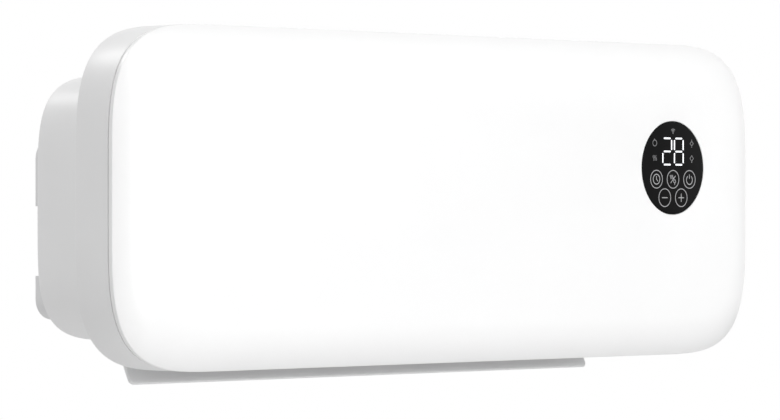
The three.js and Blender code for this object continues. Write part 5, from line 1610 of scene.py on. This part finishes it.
@dataclass
class OutletFlap:
    """Bowed flap under the outlet, hung on two pins, in the open place that it rests in."""

    pivot_lift: float = 0.0086
    reach: float = 0.03605
    heel: float = 0.002
    thickness: float = 0.0024
    bow: float = 0.0011
    corner: float = 0.0032
    arm_thickness: float = 0.003
    arm_share: float = 0.5
    arm_edge: float = 0.0003
    knuckle_share: float = 1.7
    knuckle_start: float = 20.0
    knuckle_steps: int = 12
    pin_radius: float = 0.0022
    pin_length: float = 0.007
    pin_root: float = 0.0005
    pin_chamfer: float = 0.0004
    pin_steps: int = 32
    end_round: float = 0.0004
    end_step: float = 0.3
    rows: int = 14
    nose_steps: int = 6
    corner_steps: int = 7

    def __post_init__(self) -> None:
        """Reads the flap's pivot, length and rest angle from the frame."""
        joint = joint_named("flap_swing")
        self.pivot = Vector(joint["pos_m"])
        self.open_angle = -radians(joint["range_deg"][0])
        low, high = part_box("outlet_flap")
        self.length = high.x - low.x - 2 * (self.pin_length - self.arm_thickness / 2)

    def rise(self, distance: float) -> float:
        """Height of the bowed blade's middle at a distance in front of the pivot."""
        share = (distance + self.heel) / (self.reach + self.heel)
        return self.thickness / 2 - self.pivot_lift - self.bow * 4 * share * (1 - share)

    def section(self, x: float, shrink: float) -> list[Point]:
        """Points round the blade's section at one place along its length.

        Args:
            x: The place.
            shrink: How far the section is drawn in all round.

        Returns:
            Its points, in order, with the pivot at the origin and the blade level.
        """
        half = self.thickness / 2 - shrink
        past = max(abs(x) - (self.length / 2 - self.corner), 0.0)
        reach = self.reach - self.corner + sqrt(max(self.corner**2 - past**2, 0.0)) - shrink - half
        heel = -self.heel + shrink + half
        found = []
        for middle, other, start in ((reach, heel, -90), (heel, reach, 90)):
            for angle in sweep(start, start + 180, self.nose_steps):
                found.append((x, -middle - half * cos(angle), self.rise(middle) + half * sin(angle)))
            for step in range(1, self.rows):
                across = middle + (other - middle) * step / self.rows
                found.append((x, -across, self.rise(across) + (half if start < 0 else -half)))
        return found

    def blade(self, model: Modeller) -> None:
        """Models the blade as sections along its length, closer together at its round corners.

        Args:
            model: The flap.
        """
        end = self.length / 2
        step_in = self.end_round * self.end_step
        stations = [(end, self.end_round), (end - step_in, step_in)]
        for step in range(self.corner_steps + 1):
            angle = pi / 2 * (1 - step / self.corner_steps)
            stations.append((end - self.corner + (self.corner - self.end_round) * sin(angle), 0.0))
        rings = [model.ring(self.section(-x, shrink)) for x, shrink in stations]
        rings += [model.ring(self.section(x, shrink)) for x, shrink in reversed(stations)]
        model.skin(rings)
        model.fill(rings[0])
        model.fill(rings[-1])

    def build(self) -> None:
        """Models the blade, its arms and pins, and swings them to their rest place."""
        model = Modeller()
        self.blade(model)
        under = -self.pivot_lift + self.thickness / 2
        knuckle = self.pin_radius * self.knuckle_share
        arm = [(self.heel, under), (-self.reach * self.arm_share, under)]
        turns = sweep(self.knuckle_start, 180, self.knuckle_steps)
        arm += [(-knuckle * cos(angle), knuckle * sin(angle)) for angle in turns]
        pin, root, chamfer = self.pin_radius, -self.pin_root, self.pin_chamfer
        tip = self.pin_length - self.arm_thickness / 2
        profile = [(0, root), (pin, root), (pin, tip - chamfer), (pin - chamfer, tip), (0, tip)]
        for side, axis in ((-1, Axis.LEFT), (1, Axis.RIGHT)):
            start = side * self.length / 2
            points = [(start, y, z) for y, z in arm]
            verts = model.prism(points, (-side * self.arm_thickness, 0, 0))
            model.soften(verts, self.arm_edge)
            model.turn(profile, axis.place(start, 0, 0), self.pin_steps)
        model.outward()
        swing = Matrix.Translation(self.pivot) @ Matrix.Rotation(self.open_angle, 4, "X")
        bmesh.ops.transform(model.bm, matrix=swing, verts=model.bm.verts)
        piece = Piece("outlet_flap_blade", FLAP_PLASTIC, Slot.FLAP, Body.FLAP, ("outlet_flap",))
        piece.add(model.mesh(piece.name))


@dataclass
class SlattedFrame:
    """A flat frame with rows of slats, as the inlet grille and the outlet's guard are."""

    node: str
    name: str
    finish: Finish
    slot: Slot
    frame_width: float
    slats: int
    slat_thickness: float
    slat_depth: float
    lean: float = 0.0
    rail: bool = False
    rail_inset: float = 0.0005
    frame_edge: float = 0.0005
    slat_edge: float = 0.0004

    def build(self) -> None:
        """Models the frame as one ring and lays the slats in it."""
        low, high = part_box(self.node)
        middle, half = (low + high) / 2, (high - low) / 2
        model = Modeller()
        corners = [(-1, -1), (1, -1), (1, 1), (-1, 1)]
        outer, inner = (
            [(middle.x + x * (half.x - inset), middle.y + y * (half.y - inset), low.z) for x, y in corners]
            for inset in (0.0, self.frame_width)
        )
        model.soften(model.prism(outer, (0, 0, high.z - low.z), [inner]), self.frame_edge)
        pitch = (high.x - low.x - 2 * self.frame_width) / (self.slats + 1)
        size = Vector((self.slat_thickness / 2, half.y - self.frame_width / 2, self.slat_depth / 2))
        turned = Matrix.Rotation(radians(self.lean), 4, "Y")
        for index in range(self.slats):
            x = middle.x + (index - (self.slats - 1) / 2) * pitch
            place = Vector((x, middle.y, middle.z))
            model.soften(model.block(place - size, place + size, turned), self.slat_edge)
        if self.rail:
            depth = self.slat_depth / 2 - self.rail_inset
            size = Vector((half.x - self.frame_width / 2, self.slat_thickness / 2, depth))
            model.soften(model.block(middle - size, middle + size), self.slat_edge)
        Piece(self.name, self.finish, self.slot, stands_for=(self.node,)).close(model)


@dataclass
class FanWheel:
    """Cross-flow wheel with forward-curled blades between thin rings."""

    blades: int = 33
    blade_steps: int = 6
    blade_sunk: float = 0.001
    chord: float = 0.008
    thickness: float = 0.0011
    thinnest: float = 0.55
    lead: float = 26.0
    lead_growth: float = 1.7
    edge: float = 0.0004
    ring_thickness: float = 0.0018
    ring_overlap: float = 0.0012
    ring_steps: int = 64
    sections: int = 6
    hub_radius: float = 0.008
    hub_length: float = 0.007
    bore: float = 0.0033

    def __post_init__(self) -> None:
        """Reads the wheel's place from the frame."""
        low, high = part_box("fan_wheel")
        self.half = (high.x - low.x) / 2
        self.radius = (high.z - low.z) / 2
        _, self.y, self.z = middle_of("fan_wheel")

    def blade_points(self, turn: float) -> list[Point]:
        """The outline of one blade's section at the wheel's left end.

        Args:
            turn: The blade's angle about the axis.

        Returns:
            Its points, in order.
        """
        sides: tuple[list[Point], list[Point]] = ([], [])
        for step in range(self.blade_steps + 1):
            share = step / self.blade_steps
            radius = self.radius - self.chord + (self.chord - self.edge) * share
            angle = turn + radians(self.lead) * share**self.lead_growth
            belly = self.thinnest + (1 - self.thinnest) * sin(pi * share)
            spread = self.thickness / 2 * belly / radius
            for side, sign in zip(sides, (1, -1)):
                (point,) = circle(self.y, self.z, radius, [angle + sign * spread])
                side.append((self.blade_sunk - self.half, *point))
        return sides[0] + sides[1][::-1]

    def build(self) -> None:
        """Models the blades, the rings that hold them and the end discs with their hubs."""
        model = Modeller()
        for angle in full_turn(self.blades):
            model.prism(self.blade_points(angle), (2 * self.half - 2 * self.blade_sunk, 0, 0))
        inner, rim = self.radius - self.chord - self.ring_overlap, self.radius
        spacing = (2 * self.half - self.ring_thickness) / self.sections
        thick = self.ring_thickness / 2
        ring = [(inner, -thick), (rim, -thick), (rim, thick), (inner, thick)]
        for index in range(1, self.sections):
            x = -self.half + thick + index * spacing
            model.turn(ring, Axis.RIGHT.place(x, self.y, self.z), self.ring_steps, closed=True)
        disc = [
            (self.bore, 0.0),
            (rim - self.edge, 0.0),
            (rim, self.edge),
            (rim, self.ring_thickness),
            (self.hub_radius, self.ring_thickness),
            (self.hub_radius, self.hub_length),
            (self.bore, self.hub_length),
        ]
        for axis, x in ((Axis.RIGHT, -self.half), (Axis.LEFT, self.half)):
            model.turn(disc, axis.place(x, self.y, self.z), self.ring_steps, closed=True)
        Piece("fan_wheel_blades", WHEEL_PLASTIC, Slot.GREY, Body.FAN, ("fan_wheel",)).close(model)


@dataclass
class HeaterFins:
    """Fine corrugated ribbons that lie along the heating tubes."""

    pitch: float = 0.0034
    sheet: float = 0.0003
    bends: tuple[tuple[float, int], ...] = ((0.08, -1), (0.42, -1), (0.58, 1), (0.92, 1))

    def build(self) -> None:
        """Models the three ribbons as folded strips with a small thickness."""
        for index in range(1, 4):
            self.ribbon(f"heater_fins_{index}", f"heater_ribbon_{index}")

    def ribbon(self, node: str, name: str) -> None:
        """Models one ribbon.

        Args:
            node: The CAD node that it stands for.
            name: The ribbon's own name.
        """
        low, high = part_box(node)
        reach = (high.y - low.y) / 2 - self.sheet / 2
        y = (high.y + low.y) / 2
        waves = int((high.x - low.x) / self.pitch)
        pitch = (high.x - low.x) / waves
        model = Modeller()
        verts = [
            model.bm.verts.new((low.x + wave * pitch + pitch * share, y + side * reach, low.z))
            for wave in range(waves)
            for share, side in self.bends
        ]
        edges = [model.bm.edges.new(pair) for pair in zip(verts, verts[1:])]
        made = bmesh.ops.extrude_edge_only(model.bm, edges=edges)
        drawn = [part for part in made["geom"] if isinstance(part, BMVert)]
        bmesh.ops.translate(model.bm, verts=drawn, vec=(0, 0, high.z - low.z))
        bmesh.ops.solidify(model.bm, geom=model.bm.faces[:], thickness=self.sheet)
        Piece(name, ALUMINIUM, Slot.ALUMINIUM, stands_for=(node,)).close(model)


# ---- Small parts ------------------------------------------------------------------------------


@dataclass
class HousingScrews:
    """The six pan-head screws that hold the tub to the band, each with a cross recess."""

    head_radius: float = 0.0034
    head_height: float = 0.0026
    dome: float = 0.35
    dome_steps: int = 5
    shank_radius: float = 0.0017
    root_share: float = 0.75
    root_place: float = 0.3
    crest_place: float = 0.9
    thread_pitch: float = 0.0012
    point_length: float = 0.002
    steps: int = 32
    recess: float = 0.0009
    recess_reach: float = 0.55
    recess_lift: float = 0.00035
    recess_depth: float = 0.00025

    def build(self) -> None:
        """Models the screws."""
        for node in HOUSING_SCREWS:
            self.screw(node)

    def screw(self, node: str) -> None:
        """Models one screw as a threaded shank under a domed head.

        Args:
            node: The CAD node that it stands for.
        """
        low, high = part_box(node)
        x, _, z = middle_of(node)
        length = high.y - low.y
        head = [
            (self.head_radius * sin(angle), self.head_height * (self.dome - self.dome * cos(angle)))
            for angle in sweep(0, 90, self.dome_steps)
        ]
        profile = head + [(self.head_radius, self.head_height), (self.shank_radius, self.head_height)]
        turns = int((length - self.head_height - self.point_length) / self.thread_pitch)
        for turn in range(turns):
            start = self.head_height + turn * self.thread_pitch
            root = start + self.thread_pitch * self.root_place
            crest = start + self.thread_pitch * self.crest_place
            profile += [(self.shank_radius * self.root_share, root), (self.shank_radius, crest)]
        profile.append((0.0, length))
        model = Modeller()
        model.turn(profile, Axis.OUT.place(x, high.y, z), self.steps)
        self.cross(model, x, high.y, z)
        Piece(f"{node}_turned", ZINC, Slot.ZINC, stands_for=(node,)).close(model)

    def cross(self, model: Modeller, x: float, y: float, z: float) -> None:
        """Lays the cross recess into the head.

        Args:
            model: The screw.
            x: The screw's place, to the right.
            y: The top of its head.
            z: The screw's place, upwards.
        """
        reach, half = self.head_radius * self.recess_reach, self.recess / 2
        arm = [(reach, -half), (reach, half), (half, half)]
        outline = [*arm, (half, reach), (-half, reach), (-half, half)]
        outline += [(-across, -up) for across, up in outline]
        points = [(x + across, y - self.recess_lift, z + up) for across, up in outline]
        model.prism(points, (0, self.recess_depth, 0))


@dataclass
class LeadBush:
    """Round rubber bush in the housing's back, where the supply lead goes in."""

    bore: float = 0.004
    radius: float = 0.007
    flange: float = 0.002
    tail: float = 0.005
    wall: float = 0.0028
    edge: float = 0.0008
    edge_steps: int = 4
    steps: int = 64

    def build(self) -> None:
        """Models the bush as a turned tube with a flange behind the housing's wall."""
        x, _, z = middle_of("cord_gland")
        edge, outer = self.edge, self.radius
        turns = sweep(0, 90, self.edge_steps)
        mouth = [(self.bore + edge - edge * sin(turn), edge - edge * cos(turn)) for turn in turns]
        nose = [(outer - edge + edge * sin(turn), edge - edge * cos(turn)) for turn in turns]
        length = self.tail + self.wall
        profile = mouth[::-1] + nose + [
            (outer, length),
            (outer + self.flange, length),
            (outer + self.flange, length + self.flange),
            (self.bore, length + self.flange),
        ]
        model = Modeller()
        model.turn(profile, Axis.OUT.place(x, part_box("cord_gland")[1].y, z), self.steps, closed=True)
        Piece("lead_bush", RUBBER, Slot.RUBBER, stands_for=("cord_gland",)).close(model)


@dataclass
class SoftenedCopy:
    """A CAD node's own shape with its flat faces joined and its sharp edges rounded."""

    node: str
    finish: Finish
    slot: Slot
    body: Body = Body.ROOT
    width: float = 0.0003
    sharpest: float = 30.0
    flattest: float = 0.5

    def build(self) -> None:
        """Models the copy, whose faces already point outwards."""
        model = Modeller()
        bm = model.bm
        bm.from_mesh(frame["nodes"][self.node].data)
        bmesh.ops.remove_doubles(bm, verts=bm.verts, dist=MERGE)
        bmesh.ops.dissolve_limit(bm, angle_limit=radians(self.flattest), verts=bm.verts, edges=bm.edges)
        model.soften(bm.verts[:], self.width, self.sharpest)
        piece = Piece(f"{self.node}_softened", self.finish, self.slot, self.body, (self.node,))
        piece.add(model.mesh(piece.name))


class InnerParts:
    """The parts inside the casing, which keep their CAD shapes and get their finishes."""

    finishes: dict[Finish, tuple[str, ...]] = {
        PANEL_PLASTIC: ("front_panel",),
        CASING_PLASTIC: ("rear_housing", "mid_casing", "inlet_grille"),
        FLAP_PLASTIC: ("outlet_flap",),
        GREY_PLASTIC: ("scroll", "duct_end", "terminal_block", "outlet_guard"),
        DARK_PLASTIC: ("digit_module", "switch"),
        WHEEL_PLASTIC: ("fan_wheel",),
        BLUE_PLASTIC: ("relay",),
        YELLOW_PLASTIC: ("filter_capacitor",),
        HEATPROOF: ("heater_end", "thermal_cutout"),
        RUBBER: ("fan_bearing", "cord_gland"),
        DISPLAY_GLASS: ("display_lens",),
        ZINC: ("motor_screw", "fan_end_pin", "flap_motor", "board_screw", "touch_spring", "housing_screw"),
        ALUMINIUM: ("motor_bridge", "heater_tube", "heater_fins"),
        BRACKET_COAT: ("wall_bracket",),
        LAMINATIONS: ("motor_rotor", "motor_core"),
        WINDING: ("motor_coil",),
        BOARD: ("power_board", "touch_board"),
    }

    def build(self) -> None:
        """Paints every CAD node, also those that a piece stands for."""
        for name, node in frame["nodes"].items():
            finish = next(made for made, starts in self.finishes.items() if name.startswith(starts))
            node.data.materials.clear()
            node.data.materials.append(PAINT(finish))
            log.info("%s: finish %s", name, finish.name)


# ---- Studio -----------------------------------------------------------------------------------


@dataclass(frozen=True)
class Lamp:
    """A square soft lamp."""

    name: str
    place: Point
    size: float
    power: float

    def hang(self, target: Point) -> None:
        """Hangs the lamp so that it faces a point.

        Args:
            target: The point.
        """
        data = bpy.data.lights.new(self.name, "AREA")
        data.size = self.size
        data.energy = self.power
        lamp = bpy.data.objects.new(self.name, data)
        lamp.location = self.place
        aim = Vector(target) - Vector(self.place)
        lamp.rotation_euler = aim.to_track_quat("-Z", "Y").to_euler()
        bpy.context.scene.collection.objects.link(lamp)


@dataclass
class Studio:
    """Camera, lamps, pale floor and white surround."""

    camera_place: Point = (-1.90692, -1.97479, -0.00864)
    camera_turn: float = 44.831
    focal_pixels: float = 4055.5
    horizon_row: float = 211.979
    sensor: float = 36.0
    nearest: float = 0.05
    farthest: float = 60.0
    floor_height: float = -0.50
    floor_size: float = 6.0
    floor_cloud: float = 0.4
    floor_shades: tuple[Colour, Colour] = ((0.80, 0.80, 0.80), (0.83, 0.83, 0.83))
    floor_roughness: tuple[float, float] = (0.55, 0.65)
    ambient: float = 0.36
    heater_middle: Point = (0.0, -0.06, 0.0)
    lamps: tuple[Lamp, ...] = (
        Lamp("front_lamp", (0.0, -3.26, 0.0), size=0.95, power=22.7),
        Lamp("high_lamp", (0.0, -2.2, 1.8), size=2.0, power=34.6),
        Lamp("side_lamp", (-2.6, -1.56, 1.09), size=1.2, power=11.3),
        Lamp("rear_lamp", (-1.06, 1.78, 2.12), size=0.8, power=26.2),
    )

    def camera(self) -> None:
        """Stands the camera where the photograph was taken from."""
        data = bpy.data.cameras.new("view_camera")
        data.sensor_width = self.sensor
        data.lens = self.focal_pixels / PHOTO_WIDTH * self.sensor
        data.shift_y = (self.horizon_row - PHOTO_HEIGHT / 2) / PHOTO_WIDTH
        data.clip_start, data.clip_end = self.nearest, self.farthest
        camera = bpy.data.objects.new("view_camera", data)
        camera.location = self.camera_place
        camera.rotation_euler = (pi / 2, 0, -radians(self.camera_turn))
        bpy.context.scene.collection.objects.link(camera)
        bpy.context.scene.camera = camera

    def world(self) -> None:
        """Surrounds the scene with soft light that is plain white where it is looked at."""
        world = bpy.data.worlds.new("surround")
        world.use_nodes = True
        tree = world.node_tree
        background = tree.nodes["Background"]
        background.inputs["Color"].default_value = (1, 1, 1, 1)
        path = tree.nodes.new("ShaderNodeLightPath")
        seen = path.outputs["Is Camera Ray"]
        for ray in ("Is Glossy Ray", "Is Transmission Ray"):
            either = tree.nodes.new("ShaderNodeMath")
            either.operation = "MAXIMUM"
            tree.links.new(seen, either.inputs[0])
            tree.links.new(path.outputs[ray], either.inputs[1])
            seen = either.outputs[0]
        strength = tree.nodes.new("ShaderNodeMapRange")
        strength.inputs["To Min"].default_value = self.ambient
        strength.inputs["To Max"].default_value = 1.0
        tree.links.new(seen, strength.inputs["Value"])
        tree.links.new(strength.outputs["Result"], background.inputs["Strength"])
        bpy.context.scene.world = world

    def floor(self) -> None:
        """Lays the pale floor under the heater."""
        model = Modeller()
        bmesh.ops.create_grid(model.bm, x_segments=1, y_segments=1, size=self.floor_size / 2)
        bmesh.ops.translate(model.bm, verts=model.bm.verts, vec=(0, 0, self.floor_height))
        floor = bpy.data.objects.new("studio_floor", model.mesh("studio_floor"))
        shader = Shader("studio_floor")
        cloud = shader.noise(self.floor_cloud, detail=2.0)
        shader.paint(cloud, *self.floor_shades)
        shader.roughen(cloud, *self.floor_roughness)
        floor.data.materials.append(shader.material)
        bpy.context.scene.collection.objects.link(floor)

    def build(self) -> None:
        """Sets up the whole studio."""
        self.camera()
        self.world()
        self.floor()
        for lamp in self.lamps:
            lamp.hang(self.heater_middle)
        bpy.context.scene.view_settings.view_transform = "Standard"


def main() -> None:
    """Builds the heater's pieces, then the studio."""
    logging.basicConfig(level=logging.INFO, format="%(name)s: %(message)s")
    inlet = SlattedFrame(
        node="inlet_grille",
        name="inlet_grille_slats",
        finish=CASING_PLASTIC,
        slot=Slot.CASING,
        frame_width=0.005,
        slats=47,
        slat_thickness=0.0018,
        slat_depth=0.0042,
        lean=24.0,
    )
    outlet = SlattedFrame(
        node="outlet_guard",
        name="outlet_guard_vanes",
        finish=GREY_PLASTIC,
        slot=Slot.GREY,
        frame_width=0.0025,
        slats=35,
        slat_thickness=0.0012,
        slat_depth=0.004,
        rail=True,
    )
    for made in (
        InnerParts(),
        FrontPanel(),
        MiddleBand(),
        RearHousing(),
        WallBracket(),
        DisplayGlass(),
        Digits(),
        KeySigns(),
        SmallSigns(),
        OutletFlap(),
        inlet,
        outlet,
        FanWheel(),
        HeaterFins(),
        HousingScrews(),
        LeadBush(),
        SoftenedCopy("switch_frame", DARK_PLASTIC, Slot.DARK),
        SoftenedCopy("switch_rocker", DARK_PLASTIC, Slot.DARK, Body.ROCKER),
        Studio(),
    ):
        made.build()


if __name__ == "__main__":
    main()
